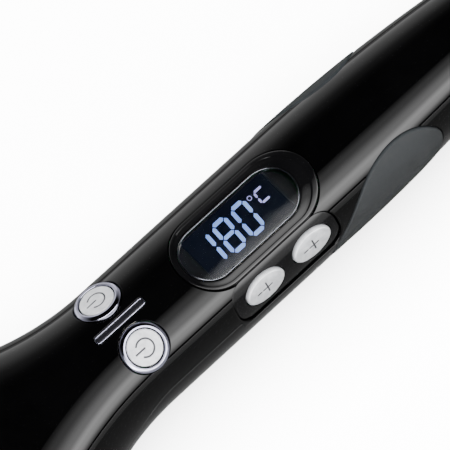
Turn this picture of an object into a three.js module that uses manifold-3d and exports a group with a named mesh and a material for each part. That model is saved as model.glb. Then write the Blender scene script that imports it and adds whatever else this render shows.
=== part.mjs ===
// An automatic curling iron: a round handle whose neck flares into an open two-armed head. A fixed, heated
// barrel stands in the chamber between the arms, and a motor turns a rotor with a hair finger round it.
// Millimetres, +Z up. While it is modelled, x = 0 is where the handle meets the neck, +x runs to the tail,
// -x to the tip of the head, and the handle's axis is the x axis. The display faces up, the +/- panel
// is on -y.
import * as THREE from "three";
import { mergeVertices } from "three/addons/utils/BufferGeometryUtils.js";
import Module from "manifold-3d";

const wasm = await Module();
wasm.setup();

// ---------- driving dimensions ----------
const handleRadius = 20.9;
const tailRadius = 15.1;
const handleLength = 154;
const taperFrom = 74;
const neckLength = 80;
const headLength = 60;
const headHalfWidth = 43;
const headHalfHeight = 31;
const headPower = 2.4;
const tipRoundLength = 30;
const tipHalfWidth = 35.5;
const tipHalfHeight = 27.6;
const tipLip = 3;
const footDepth = 1.4;
const wall = 2.6;

const outside = 30; // further from the handle's axis than any piece of the handle
const sunk = 0.2; // what one shape of a piece reaches into the next
const gap = 0.3; // between pieces that touch
const running = 0.2; // between a turning piece and what it turns on
const buttonGap = 0.35; // round a button
const travel = 0.8; // of every button
const pressRoom = 0.15; // left under a pressed button

const ringOverLine = 0.3; // how far the round buttons' rings reach over the upper parting lines
const bandAngle = 77; // degrees from the top: the line between the side bands and the bottom cover
const bandTurnLength = 25;
const lineStep = 0.4; // half the length over which that line steps at the panel

const chamberRadius = 28;
const chamberDepth = 54;
const linerWall = 2;
const windowTipHalf = 21;
const windowBaseHalf = 17;
const plateThickness = 3;

const barrelRadius = 12.5;
const barrelBore = 10.2;
const spindleRadius = 6;
const spindleBore = 4;
const hubRadius = 9;
const rotorRadius = 26.5;
const rotorDisk = 3;
const fingerLength = 28;
const fingerInner = 21;
const fingerOuter = 24.5;
const fingerHook = 19;
const fingerHalfAngle = 13;

const gearModule = 1;
const rotorTeeth = 24;
const pinionTeeth = 10;
const gearWidth = 5;
const backlash = 0.35;
const gearboxRadius = 8;
const motorRadius = 7.6;
const gearboxLength = 10.7;
const motorLength = 15.5;

const displayX = 44.7;
const displayAngle = 6;
const windowLength = 42.2;
const windowWidth = 17.2;
const bezelLength = 51;
const bezelWidth = 24.4;
const bezelShiftX = 2.1;
const bezelRise = 0.35;
const windowRise = 0;
const windowThickness = 1.3;

const panelX = 47.9;
const panelSpace = 0.85; // between the bezel and the button panel, along the surface
const panelLength = 40.6;
const panelWidth = 14.6;
const panelCorner = 6;
const panelDepth = 0.9;
const panelThickness = 2.2;
const ovalLength = 14.3;
const ovalWidth = 8.9;
const ovalPitch = 18.8;
const ovalMiddleX = 48.6;

const turnX = -0.7;
const lightSpace = 2.73; // from the light's middle to each round button's ring
const turnRingRadius = 7.5;
const turnHoleRadius = 5.85;
const turnRise = 0.5;
const lightLength = 18.3;
const lightWidth = 1.6;

const padAngle = 75;
const padFromX = 63.3;
const padLength = 48;
const padRise = 0.3;
const padThickness = 1.6;

const boardThickness = 1.6;
const boardTop = 4.6;
const switchSide = 5.2;
const plungerRadius = 1.4;
const stemRadius = 1.5;

const capLength = 10;
const capEndRadius = 9.8;
const swivelRadius = 5.4;
const swivelFlange = 7.9;
const swivelLength = 8;
const cordBore = 3.3;

const screwHead = 2.6;
const screwShank = 1.5;
const screwSeat = -10;

// ---------- places that follow ----------
const radians = THREE.MathUtils.degToRad;
const degrees = THREE.MathUtils.radToDeg;
const angleOfWidth = (width) => degrees(Math.asin(width / handleRadius));
const turnAngle = angleOfWidth(turnRingRadius + lightSpace);
const coverAngle = turnAngle + angleOfWidth(turnRingRadius - ringOverLine); // the line below the top cover
const panelAngle =
  displayAngle + angleOfWidth(bezelWidth / 2) + angleOfWidth(panelSpace) + angleOfWidth(panelWidth / 2);
// The line between a side band and the bottom cover from the button panel to the tail, on -y.
const panelBandAngle = panelAngle + angleOfWidth(panelWidth / 2 + gap);
const tipX = -neckLength - headLength;
const tipRoundX = tipX + tipRoundLength;
const chamberX = tipX + chamberDepth;
const capEndX = handleLength + gap + capLength;
const tailX = capEndX + swivelLength;
const footZ = -headHalfHeight + footDepth;
const panelStartX = panelX - panelLength / 2;
const plateFrontX = chamberX + gap;
const plateBackX = plateFrontX + plateThickness;
const diskBackX = chamberX - 2 * gap;
const diskFrontX = diskBackX - rotorDisk;
const gearFrontX = plateBackX + 2;
const gearBackX = gearFrontX + gearWidth;
const hubBackX = gearBackX + 2;
const bracketFrontX = hubBackX + 1;
const bracketBackX = bracketFrontX + plateThickness;
const gearDistance = ((rotorTeeth + pinionTeeth) * gearModule) / 2 + backlash;
const controlBoardBackX = displayX + 42.3;
const frontPostX = controlBoardBackX + 7;
const backPostX = handleLength - 13;
const powerBoardFrontX = frontPostX + 5;
const powerBoardBackX = backPostX - 5;
const neckPostX = -34;
const neckPostY = 14;
const screwPlaces = [
  [frontPostX, 0],
  [backPostX, 0],
  [neckPostX, neckPostY],
  [neckPostX, -neckPostY],
];
const barrelBackX = diskFrontX - 0.8;
const barrelFrontX = tipX + 5.3;

// How finely round shapes are divided: sides of a turned piece, and steps of a quarter turn of an outline.
const sides = 36;
const roundSides = 24;
const smallSides = 12;
const fine = 5;
const plain = 2;
const coarse = 1;

// ---------- solids ----------
function solidOf(geometry) {
  const bare = geometry.clone();
  for (const name of Object.keys(bare.attributes)) {
    if (name !== "position") bare.deleteAttribute(name);
  }
  const merged = mergeVertices(bare, 1e-4);
  const corners = merged.index.array;
  const kept = [];
  for (let i = 0; i < corners.length; i += 3) {
    const [a, b, c] = [corners[i], corners[i + 1], corners[i + 2]];
    if (a !== b && b !== c && c !== a) kept.push(a, b, c);
  }
  const made = manifoldOf(merged.attributes.position.array, kept);
  if (made.volume() > 0) return made;
  const flipped = [];
  for (let i = 0; i < kept.length; i += 3) flipped.push(kept[i], kept[i + 2], kept[i + 1]);
  return manifoldOf(merged.attributes.position.array, flipped);
}

function manifoldOf(positions, corners) {
  const vertProperties = new Float32Array(positions);
  const triVerts = new Uint32Array(corners);
  return new wasm.Manifold(new wasm.Mesh({ numProp: 3, vertProperties, triVerts }));
}

function geometryOf(solid) {
  const mesh = solid.getMesh();
  const positions = new Float32Array(mesh.numVert * 3);
  for (let i = 0; i < mesh.numVert; i += 1) {
    const from = i * mesh.numProp;
    positions.set(mesh.vertProperties.subarray(from, from + 3), i * 3);
  }
  const geometry = new THREE.BufferGeometry();
  geometry.setAttribute("position", new THREE.BufferAttribute(positions, 3));
  geometry.setIndex(new THREE.BufferAttribute(new Uint32Array(mesh.triVerts), 1));
  geometry.computeVertexNormals();
  return geometry;
}

const join = (first, ...others) => others.reduce((whole, solid) => whole.add(solid), first);
const cut = (first, ...others) => others.reduce((whole, solid) => whole.subtract(solid), first);

function box(x0, x1, y0, y1, z0, z1) {
  const geometry = new THREE.BoxGeometry(x1 - x0, y1 - y0, z1 - z0);
  geometry.translate((x0 + x1) / 2, (y0 + y1) / 2, (z0 + z1) / 2);
  return solidOf(geometry);
}

// Turns a profile of [x, radius] points round the x axis, moved to y, z.
function turned(profile, { y = 0, z = 0, segments = roundSides } = {}) {
  const points = profile.map(([x, radius]) => new THREE.Vector2(radius, x));
  const geometry = new THREE.LatheGeometry(points, segments);
  geometry.rotateZ(-Math.PI / 2);
  geometry.translate(0, y, z);
  return solidOf(geometry);
}

const rod = (x0, x1, radius, place) => turned([[x0, 0], [x0, radius], [x1, radius], [x1, 0]], place);

const ring = (x0, x1, inner, outer, place) =>
  turned([[x0, inner], [x0, outer], [x1, outer], [x1, inner], [x0, inner]], place);

// Carries a geometry modelled along +z at the axis to x and to an angle from the top towards -y.
function atAngle(geometry, x, angle) {
  geometry.rotateX(radians(angle));
  geometry.translate(x, 0, 0);
  return geometry;
}

// An outline raised from one distance off the axis to another, at x and an angle.
function prism(outline, low, high, x, angle, curveSegments = fine) {
  const depth = high - low;
  const geometry = new THREE.ExtrudeGeometry(outline, { depth, bevelEnabled: false, curveSegments });
  geometry.translate(0, 0, low);
  return solidOf(atAngle(geometry, x, angle));
}

// A profile of [height, radius] points turned about the radial direction at x and an angle.
function turnedAt(profile, x, angle, segments = roundSides) {
  const points = profile.map(([height, radius]) => new THREE.Vector2(radius, height));
  const geometry = new THREE.LatheGeometry(points, segments);
  geometry.rotateX(Math.PI / 2);
  return solidOf(atAngle(geometry, x, angle));
}

const disk = (low, high, radius) => [[low, 0], [low, radius], [high, radius], [high, 0]];

// ---------- the outer form ----------
const between = THREE.MathUtils.lerp;
const ease = (t) => t * t * (1.25 + 1.5 * t - 1.75 * t * t);

// Half width, half height and roundness of the body at x, moved outwards by offset.
function section(x, offset = 0) {
  const flare = ease(THREE.MathUtils.clamp(-x / neckLength, 0, 1));
  const closing = Math.max(0, (tipRoundX - x) / tipRoundLength) ** 2;
  const lip = THREE.MathUtils.clamp((tipX + tipLip - x) / tipLip, 0, 1);
  const taper = Math.max(0, (x - taperFrom) / (handleLength - taperFrom)) ** 2;
  const round = offset - tipLip * (1 - Math.sqrt(1 - lip * lip)) - (handleRadius - tailRadius) * taper;
  return {
    halfWidth: between(handleRadius, headHalfWidth, flare) - (headHalfWidth - tipHalfWidth) * closing + round,
    halfHeight:
      between(handleRadius, headHalfHeight, flare) - (headHalfHeight - tipHalfHeight) * closing + round,
    power: 2 + (headPower - 2) * flare,
  };
}

const signedPower = (value, power) => Math.sign(value) * Math.abs(value) ** power;

// The point at an angle from the top towards -y on the section at x.
function sectionPoint(x, angle, offset = 0) {
  const { halfWidth, halfHeight, power } = section(x, offset);
  const y = -halfWidth * signedPower(Math.sin(angle), 2 / power);
  const z = halfHeight * signedPower(Math.cos(angle), 2 / power);
  return [y, z];
}

function spread(from, to, steps) {
  return Array.from({ length: steps + 1 }, (_, i) => from + ((to - from) * i) / steps);
}

// The x of each ring of the body, from one end to the other.
function ringPlaces(from, to) {
  const places = [
    ...[0, 0.15, 0.5, 1].map((share) => tipX + tipLip * share),
    ...spread(tipRoundX - tipRoundLength * 0.7, tipRoundX, 2),
    ...spread(-neckLength, 0, 8),
    panelStartX - lineStep,
    panelStartX + lineStep,
    ...spread(taperFrom, handleLength, 4),
  ];
  const inside = places.filter((x) => x > from + 0.2 && x < to - 0.2).sort((a, b) => a - b);
  return [from, ...inside, to];
}

// A closed skin through the rings at the given x, each ring a list of [y, z] found from its x and its turn.
function skin(places, count, centre, point) {
  const geometry = new THREE.CylinderGeometry(1, 1, 1, count, places.length - 1);
  const position = geometry.attributes.position;
  for (let i = 0; i < position.count; i += 1) {
    const [vx, vy, vz] = [position.getX(i), position.getY(i), position.getZ(i)];
    const x = places[Math.round((vy + 0.5) * (places.length - 1))];
    const turn = Math.round((Math.atan2(vx, vz) / (2 * Math.PI)) * count + count) % count;
    const [y, z] = Math.hypot(vx, vz) < 0.5 ? centre(x) : point(x, turn);
    position.setXYZ(i, x, y, z);
  }
  return solidOf(geometry);
}

function bodyForm(offset, from = tipX, to = handleLength) {
  return skin(
    ringPlaces(from, to),
    sides,
    () => [0, 0],
    (x, turn) => sectionPoint(x, (turn / sides) * 2 * Math.PI, offset),
  );
}

// The part of space between two angles seen from the axis, each angle a function of x in degrees.
function sector(fromAngle, toAngle, steps) {
  const reach = 1.6;
  const far = (x, share) => {
    const angle = radians(fromAngle(x) + (toAngle(x) - fromAngle(x)) * share);
    return sectionPoint(x, angle).map((value) => value * reach);
  };
  const places = ringPlaces(tipX - 5, handleLength + 5);
  return skin(
    places,
    steps + 2,
    (x) => far(x, 0.5).map((value) => value / 2),
    (x, turn) => (turn === 0 ? [0, 0] : far(x, (turn - 1) / steps)),
  );
}

// Half the gap between two covers, as degrees at x.
const halfGap = (x) => degrees(gap / 2 / section(x).halfWidth);

function bandLine(x) {
  const turn = THREE.MathUtils.smoothstep(-x, 0, bandTurnLength);
  return bandAngle + (90 - bandAngle) * turn;
}

const panelLine = (x) => (x > panelStartX ? panelBandAngle : bandLine(x));

// ---------- outlines ----------
function stadium(length, width, x = 0) {
  const outline = new THREE.Shape();
  const radius = width / 2;
  const reach = length / 2 - radius;
  outline.absarc(x + reach, 0, radius, -Math.PI / 2, Math.PI / 2, false);
  outline.absarc(x - reach, 0, radius, Math.PI / 2, (3 * Math.PI) / 2, false);
  return outline;
}

function oval(length, width) {
  const outline = new THREE.Shape();
  outline.absellipse(0, 0, length / 2, width / 2, 0, 2 * Math.PI, false, 0);
  return outline;
}

const circle = (radius) => oval(2 * radius, 2 * radius);

function roundedBar(length, width, corner) {
  const outline = new THREE.Shape();
  const [x, y] = [length / 2 - corner, width / 2 - corner];
  outline.absarc(x, y, corner, 0, Math.PI / 2, false);
  outline.absarc(-x, y, corner, Math.PI / 2, Math.PI, false);
  outline.absarc(-x, -y, corner, Math.PI, (3 * Math.PI) / 2, false);
  outline.absarc(x, -y, corner, (3 * Math.PI) / 2, 2 * Math.PI, false);
  return outline;
}

// The grip pad's leaf: a point towards the head, a round shoulder towards the tail, grown by margin.
function leaf(side, margin) {
  const middle = [padFromX + padLength / 2, 0];
  const points = [
    [0, -8],
    [0.2, 1.5],
    [0.42, 8.6],
    [0.65, 10.9],
    [0.85, 8.8],
    [0.98, 2.5],
    [0.96, -5],
    [0.82, -10],
    [0.4, -10.6],
    [0.12, -9.6],
  ].map(([along, up]) => {
    const x = padFromX + padLength * along;
    const reach = Math.hypot(x - middle[0], up);
    const grow = 1 + margin / reach;
    return new THREE.Vector2((x - middle[0]) * grow, side * up * grow);
  });
  const outline = new THREE.Shape();
  outline.moveTo(points[0].x, points[0].y);
  outline.splineThru(points.slice(1));
  outline.closePath();
  return outline;
}

// The window in the head's top and bottom: straight sides opening towards the tip, a half-round base.
function headWindow(margin) {
  const outline = new THREE.Shape();
  const base = windowBaseHalf + margin;
  const tip = windowTipHalf + margin;
  const middle = chamberX - windowBaseHalf;
  outline.moveTo(tipX - 10, -tip);
  outline.lineTo(middle, -base);
  outline.absarc(middle, 0, base, -Math.PI / 2, Math.PI / 2, false);
  outline.lineTo(tipX - 10, tip);
  outline.closePath();
  return prism(outline, -2 * headHalfHeight, 2 * headHalfHeight, 0, 0);
}

// ---------- cutters shared by the covers ----------
const everywhere = 2 * headHalfWidth;
const chamber = rod(tipX - 10, chamberX, chamberRadius, { segments: sides });
const windowCut = headWindow(0);
const hairSpace = join(chamber, windowCut);
const cavity = bodyForm(-wall, tipX + tipLip, handleLength + 5);
const bezelOutline = (margin) =>
  stadium(bezelLength + 2 * margin, bezelWidth + 2 * margin, bezelShiftX);
const bezelHole = prism(bezelOutline(gap), 5, outside, displayX, displayAngle);
const panelOutline = (margin) =>
  roundedBar(panelLength + 2 * margin, panelWidth + 2 * margin, panelCorner + margin);
const panelHole = prism(panelOutline(gap), 10, outside, panelX, panelAngle, plain);
const lightHole = prism(stadium(lightLength + 2 * gap, lightWidth + 2 * gap), 10, outside, turnX, 0, plain);
const turnHole = (side) => turnedAt(disk(12, outside, turnRingRadius + gap), turnX, side * turnAngle);
const padX = padFromX + padLength / 2;
const padPrism = (side, margin) => prism(leaf(side, margin), 5, outside, padX, side * padAngle, plain);
const padPocket = (side) => padPrism(side, gap).subtract(bodyForm(-padThickness - gap, 20, handleLength));

function uprightRod(x, y, z0, z1, radius) {
  const geometry = new THREE.CylinderGeometry(radius, radius, z1 - z0, smallSides);
  geometry.rotateX(Math.PI / 2);
  geometry.translate(x, y, (z0 + z1) / 2);
  return solidOf(geometry);
}

// ---------- shells ----------
function shell() {
  const foot = box(tipX - 5, handleLength, -everywhere, everywhere, -everywhere, footZ);
  return cut(bodyForm(0), cavity, hairSpace, foot);
}

const bodyShell = shell();

// What lies above the upper parting lines, grown by share of half the gap, and what lies below the
// lower ones.
const topSector = (share) =>
  sector((x) => -coverAngle - share * halfGap(x), (x) => coverAngle + share * halfGap(x), 8);
const bellySector = (share) =>
  sector((x) => panelLine(x) - share * halfGap(x), (x) => 360 - bandLine(x) + share * halfGap(x), 16);

function topCover() {
  const piece = bodyShell.intersect(topSector(-1));
  const inside = bodyForm(-wall + 0.5, tipX + tipLip, handleLength);
  const posts = screwPlaces.map(([x, y]) => uprightRod(x, y, 1.5, everywhere, screwShank + 1.6));
  const pilots = screwPlaces.map(([x, y]) => uprightRod(x, y, 0, 10, screwShank + gap));
  return cut(
    join(piece, ...posts.map((post) => post.intersect(inside))),
    ...pilots,
    bezelHole,
    panelHole,
    lightHole,
    turnHole(1),
    turnHole(-1),
    padPocket(1),
    padPocket(-1),
  );
}

function bottomCover() {
  const piece = bodyShell.intersect(bellySector(-1));
  const inside = bodyForm(-wall + 0.5, tipX + tipLip, handleLength);
  const bosses = screwPlaces.map(([x, y]) => uprightRod(x, y, -everywhere, 1.2, screwHead + 1.6));
  const bores = screwPlaces.map(([x, y]) => uprightRod(x, y, -everywhere, 2, screwShank + gap));
  const seats = screwPlaces.map(([x, y]) => uprightRod(x, y, -everywhere, screwSeat, screwHead + gap));
  return cut(
    join(piece, ...bosses.map((boss) => boss.intersect(inside))),
    ...bores,
    ...seats,
    panelHole,
    padPocket(1),
    padPocket(-1),
  );
}

const bothBands = cut(bodyShell, topSector(1), bellySector(1));

// The band between the covers on one side, from one x to another.
function sideBand(side, from, to) {
  const [y0, y1] = side > 0 ? [-everywhere, 0] : [0, everywhere];
  const piece = bothBands.intersect(box(from, to, y0, y1, -everywhere, everywhere));
  return cut(piece, turnHole(side), panelHole, padPocket(side));
}

// ---------- chamber ----------
function chamberLiner(side) {
  const grownChamber = rod(tipX - 10, chamberX, chamberRadius + linerWall, { segments: sides });
  const grown = join(grownChamber, headWindow(linerWall));
  const inside = bodyForm(-wall - gap, tipX + tipLip + gap, 0);
  const half = side > 0 ? box(tipX, chamberX, -everywhere, -gap, -everywhere, everywhere)
    : box(tipX, chamberX, gap, everywhere, -everywhere, everywhere);
  return cut(inside.intersect(grown).intersect(half), hairSpace);
}

function crossPlate(from, to, height) {
  return bodyForm(-wall - gap, from, to).intersect(box(from, to, -everywhere, everywhere, -height, height));
}

function chamberBase() {
  return cut(
    crossPlate(plateFrontX, plateBackX, everywhere),
    rod(plateFrontX - 1, plateBackX + 1, hubRadius + running + 3 + gap),
  );
}

// ---------- barrel and heater ----------
function barrel() {
  return ring(barrelFrontX, barrelBackX, barrelBore, barrelRadius, { segments: sides });
}

function barrelBase() {
  return ring(barrelBackX - 5, barrelBackX, spindleRadius + gap, barrelBore - gap);
}

function barrelCap() {
  const plug = barrelBore - gap;
  const back = barrelFrontX - gap;
  const round = spread(0, Math.PI / 2, 4).map((angle) => [
    tipX + 4 * (1 - Math.sin(angle)),
    barrelRadius - 4 * (1 - Math.cos(angle)),
  ]);
  return turned([
    [tipX, 0],
    ...round.reverse(),
    [back, barrelRadius],
    [back, plug],
    [barrelFrontX + 1.6, plug],
    [barrelFrontX + 1.6, 0],
  ]);
}

const heaterFrontX = barrelFrontX + 3;
const heaterBackX = barrelBackX - 7.5;
const heaterHalf = 1.6;
const probeRadius = 1.1;
const probeHeight = 7.6;
const probeLength = 10;
const grooveLength = 14;
const grooveFloor = 6; // of the probes' grooves, from the barrel's axis

function heatSpreader(up) {
  const round = rod(heaterFrontX, heaterBackX, barrelBore - gap);
  const above = (x0, x1, halfWidth, low) => {
    const [z0, z1] = up > 0 ? [low, barrelRadius] : [-barrelRadius, -low];
    return box(x0, x1, -halfWidth, halfWidth, z0, z1);
  };
  const half = round.intersect(above(heaterFrontX, heaterBackX, barrelRadius, heaterHalf + gap));
  return cut(half, above(heaterBackX - grooveLength, heaterBackX + 1, probeRadius + gap, grooveFloor));
}

function heaterPlate() {
  return box(heaterFrontX + 1, heaterBackX - 1, -7.5, 7.5, -heaterHalf, heaterHalf);
}

function probe(up) {
  const back = heaterBackX - 2;
  return rod(back - probeLength, back, probeRadius, { z: up * probeHeight, segments: smallSides });
}

// ---------- rotor and drive ----------
// A spur gear with straight-flanked teeth, the first at an angle from -z towards +y, and a round bore.
function gear(teeth, bore, x0, x1, place, turn = 0) {
  const pitch = (teeth * gearModule) / 2;
  const [tip, root] = [pitch + 0.9 * gearModule, pitch - 1.15 * gearModule];
  const step = (2 * Math.PI) / teeth;
  const outline = new THREE.Shape();
  for (let i = 0; i < teeth; i += 1) {
    const corners = [[-0.32, root], [-0.13, tip], [0.13, tip], [0.32, root]];
    for (const [share, radius] of corners) {
      const angle = (i + share) * step + turn;
      const point = [radius * Math.cos(angle), radius * Math.sin(angle)];
      if (outline.curves.length || outline.currentPoint.length()) outline.lineTo(...point);
      else outline.moveTo(...point);
    }
  }
  outline.closePath();
  const geometry = new THREE.ExtrudeGeometry(outline, { depth: x1 - x0, bevelEnabled: false });
  geometry.rotateY(Math.PI / 2);
  geometry.translate(x0, place.y ?? 0, 0);
  const solid = solidOf(geometry);
  return bore ? solid.subtract(rod(x0 - 1, x1 + 1, bore, place)) : solid;
}

function arcBar(inner, outer, halfAngle, from, to) {
  const outline = new THREE.Shape();
  outline.absarc(0, 0, outer, -halfAngle, halfAngle, false);
  outline.absarc(0, 0, inner, halfAngle, -halfAngle, true);
  outline.closePath();
  const depth = to - from;
  const geometry = new THREE.ExtrudeGeometry(outline, { depth, bevelEnabled: false, curveSegments: 8 });
  geometry.rotateY(Math.PI / 2);
  geometry.rotateX(-Math.PI / 2);
  geometry.translate(from, 0, 0);
  return solidOf(geometry);
}

// The disk behind the barrel with its hub, and one finger that carries the hair round the barrel.
function rotor() {
  const half = radians(fingerHalfAngle);
  const tip = diskFrontX - fingerLength;
  return join(
    ring(diskFrontX, diskBackX, spindleRadius + running, rotorRadius, { segments: sides }),
    ring(diskFrontX, hubBackX, spindleRadius + running, hubRadius),
    arcBar(fingerInner, fingerOuter, half, tip, diskFrontX + 0.5),
    arcBar(fingerHook, fingerOuter, half, tip, tip + 3),
  );
}

function rotorGear() {
  return gear(rotorTeeth, hubRadius + gap, gearFrontX, gearBackX, {}, Math.PI / 2);
}

function rotorBush() {
  return ring(plateFrontX, plateBackX, hubRadius + running, hubRadius + running + 3);
}

function spindle() {
  const flangeX = bracketBackX + gap;
  return turned([
    [barrelBackX - 5, spindleBore],
    [barrelBackX - 5, spindleRadius],
    [flangeX, spindleRadius],
    [flangeX, spindleRadius + 3],
    [flangeX + 1.6, spindleRadius + 3],
    [flangeX + 1.6, spindleBore],
    [barrelBackX - 5, spindleBore],
  ]);
}

const motorPlace = { y: gearDistance };
const shaftRadius = 2;

function motorBracket() {
  return cut(
    crossPlate(bracketFrontX, bracketBackX, 15),
    rod(bracketFrontX - 1, bracketBackX + 1, spindleRadius + gap),
    rod(bracketFrontX - 1, bracketBackX + 1, shaftRadius + 1, { ...motorPlace, segments: smallSides }),
  );
}

const gearboxX = bracketBackX + gap;

function gearbox() {
  return cut(
    rod(gearboxX, gearboxX + gearboxLength, gearboxRadius, motorPlace),
    rod(gearboxX - 1, gearboxX + 4, shaftRadius + running, { ...motorPlace, segments: smallSides }),
    rod(gearboxX - 1, gearboxX + 1, spindleRadius + 3 + gap),
  );
}

function motor() {
  const from = gearboxX + gearboxLength + gap;
  return join(
    rod(from, from + motorLength, motorRadius, motorPlace),
    rod(from + motorLength - 0.2, from + motorLength + 1.2, 3, { ...motorPlace, segments: smallSides }),
  );
}

function pinion() {
  const shaft = rod(gearFrontX - 0.3, gearboxX + 3, shaftRadius, { ...motorPlace, segments: smallSides });
  const spaceTurn = -Math.PI / 2 + Math.PI / pinionTeeth;
  return join(gear(pinionTeeth, 0, gearFrontX - 0.3, gearBackX + 0.3, motorPlace, spaceTurn), shaft);
}

// ---------- display ----------
function displayBezel() {
  const window = stadium(windowLength + 2 * gap, windowWidth + 2 * gap);
  const hole = prism(window, 5, outside, displayX, displayAngle);
  const band = bodyForm(bezelRise, 0, handleLength).subtract(bodyForm(-wall, -5, handleLength + 5));
  return cut(band.intersect(prism(bezelOutline(0), 5, outside, displayX, displayAngle)), hole, panelHole);
}

function displayWindow() {
  const band = bodyForm(windowRise, 0, handleLength).subtract(
    bodyForm(windowRise - windowThickness, -5, handleLength + 5),
  );
  return band.intersect(prism(stadium(windowLength, windowWidth), 5, outside, displayX, displayAngle));
}

const windowUnder = handleRadius + windowRise - windowThickness;
const moduleTop = Math.sqrt(windowUnder ** 2 - (windowWidth / 2) ** 2) - gap;
const moduleThickness = 3;
const moduleWidth = windowWidth - 2;
const moduleLength =
  windowLength - windowWidth + 2 * Math.sqrt((windowWidth / 2) ** 2 - (moduleWidth / 2) ** 2) - 2 * gap;

function displayModule() {
  const outline = roundedBar(moduleLength, moduleWidth, 1);
  return prism(outline, moduleTop - moduleThickness, moduleTop, displayX, displayAngle, coarse);
}

function displayHolder() {
  const low = boardTop + 2;
  const high = moduleTop - moduleThickness - gap;
  const outline = roundedBar(moduleLength + 1, moduleWidth + 1, 1);
  const inner = roundedBar(moduleLength - 2, moduleWidth - 2, 1);
  return cut(
    prism(outline, low, high, displayX, displayAngle, coarse),
    prism(inner, low - 1, high + 1, displayX, displayAngle, coarse),
    sideRoom(),
  );
}

// ---------- the +/- panel ----------
const ovalPlaces = { minus_button: ovalMiddleX - ovalPitch / 2, plus_button: ovalMiddleX + ovalPitch / 2 };
const panelTop = handleRadius - panelDepth;
const sideBoardTop = panelTop - panelThickness - 2.9;
const sideBoardThickness = 1.4;
const switchBody = 1.2;
const plunger = 0.4;
const ovalSteps = 12;
const sideBoardWidth = 11;
const sideBoardOutline = (margin) =>
  roundedBar(panelLength - 6 + 2 * margin, sideBoardWidth + 2 * margin, 1);

function buttonPanel() {
  const band = bodyForm(-panelDepth, 0, handleLength).subtract(
    bodyForm(-panelDepth - panelThickness, -5, handleLength + 5),
  );
  const holes = Object.values(ovalPlaces).map((x) =>
    prism(oval(ovalLength + 2 * buttonGap, ovalWidth + 2 * buttonGap), 10, outside, x, panelAngle, ovalSteps),
  );
  return cut(band.intersect(prism(panelOutline(0), 10, outside, panelX, panelAngle, plain)), ...holes);
}

function ovalButton(x) {
  const top = handleRadius - 0.1;
  const under = top - 2.2;
  const stemEnd = sideBoardTop + gap + switchBody + plunger + travel + pressRoom;
  return join(
    bodyForm(-0.1, 0, handleLength).intersect(
      prism(oval(ovalLength, ovalWidth), under, outside, x, panelAngle, ovalSteps),
    ),
    turnedAt(disk(stemEnd, under + 0.5, stemRadius), x, panelAngle, smallSides),
  );
}

function sideBoard() {
  const under = sideBoardTop - sideBoardThickness;
  return prism(sideBoardOutline(0), under, sideBoardTop, panelX, panelAngle, coarse);
}

// The room that the side board and its switches take.
function sideRoom() {
  const under = sideBoardTop - sideBoardThickness - gap;
  return prism(sideBoardOutline(gap), under, outside, panelX, panelAngle, coarse);
}

// A square body with a round plunger on top, standing on a seat at a distance from the axis.
function tactSwitch(x, angle, seat, height, topHeight) {
  const outline = roundedBar(switchSide, switchSide, 0.5);
  const top = seat + gap + height;
  return join(
    prism(outline, seat + gap, top, x, angle, coarse),
    turnedAt(disk(top - sunk, top + topHeight, plungerRadius), x, angle, smallSides),
  );
}

// ---------- the two turning-direction buttons and the light between them ----------
const turnTop = handleRadius + turnRise;
const carrierSeat = 11.7;
const turnSwitchBody = 3.4;
const turnSwitchPlunger = 0.6;

function turnRing(side) {
  const low = turnTop - 3.6;
  const chamfer = 0.5;
  return turnedAt(
    [
      [low, turnHoleRadius],
      [low, turnRingRadius],
      [turnTop - chamfer, turnRingRadius],
      [turnTop, turnRingRadius - chamfer],
      [turnTop, turnHoleRadius + chamfer],
      [turnTop - chamfer, turnHoleRadius],
      [low, turnHoleRadius],
    ],
    turnX,
    side * turnAngle,
    sides,
  );
}

function turnButton(side) {
  const radius = turnHoleRadius - buttonGap;
  const top = turnTop + 0.1;
  const under = top - 2.2;
  const stemEnd = carrierSeat + gap + turnSwitchBody + turnSwitchPlunger + travel + pressRoom;
  return turnedAt(
    [
      [stemEnd, 0],
      [stemEnd, 1.8],
      [under, 1.8],
      [under, radius],
      [top - 0.6, radius],
      [top - 0.15, radius - 0.6],
      [top, 0],
    ],
    turnX,
    side * turnAngle,
    sides,
  );
}

// A roof-shaped block that holds both switches square to their buttons.
function switchCarrier() {
  const angle = radians(turnAngle);
  const half = switchSide / 2 + 1;
  const middle = [carrierSeat * Math.sin(angle), carrierSeat * Math.cos(angle)];
  const outer = [middle[0] + half * Math.cos(angle), middle[1] - half * Math.sin(angle)];
  const inner = [middle[0] - half * Math.cos(angle), middle[1] + half * Math.sin(angle)];
  const low = boardTop + gap;
  const outline = new THREE.Shape();
  outline.moveTo(outer[0], low);
  for (const [y, z] of [outer, inner, [-inner[0], inner[1]], [-outer[0], outer[1]], [-outer[0], low]]) {
    outline.lineTo(y, z);
  }
  outline.closePath();
  const geometry = new THREE.ExtrudeGeometry(outline, { depth: 10, bevelEnabled: false });
  geometry.rotateX(Math.PI / 2);
  geometry.rotateZ(Math.PI / 2);
  geometry.translate(turnX - 5, 0, 0);
  return solidOf(geometry);
}

function lightLens() {
  return bodyForm(0.1, -60, 60).intersect(
    prism(stadium(lightLength, lightWidth), handleRadius - 4, outside, turnX, 0, plain),
  );
}

const carrierTop =
  carrierSeat * Math.cos(radians(turnAngle)) + (switchSide / 2 + 1) * Math.sin(radians(turnAngle));

function lightLed() {
  return box(turnX - 3, turnX + 3, -1.1, 1.1, carrierTop + gap, handleRadius - 4 - gap);
}

// ---------- grip pads ----------
function gripPad(side) {
  const band = bodyForm(padRise, 20, handleLength).subtract(bodyForm(-padThickness, 15, handleLength + 5));
  return band.intersect(padPrism(side, 0));
}

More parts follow.
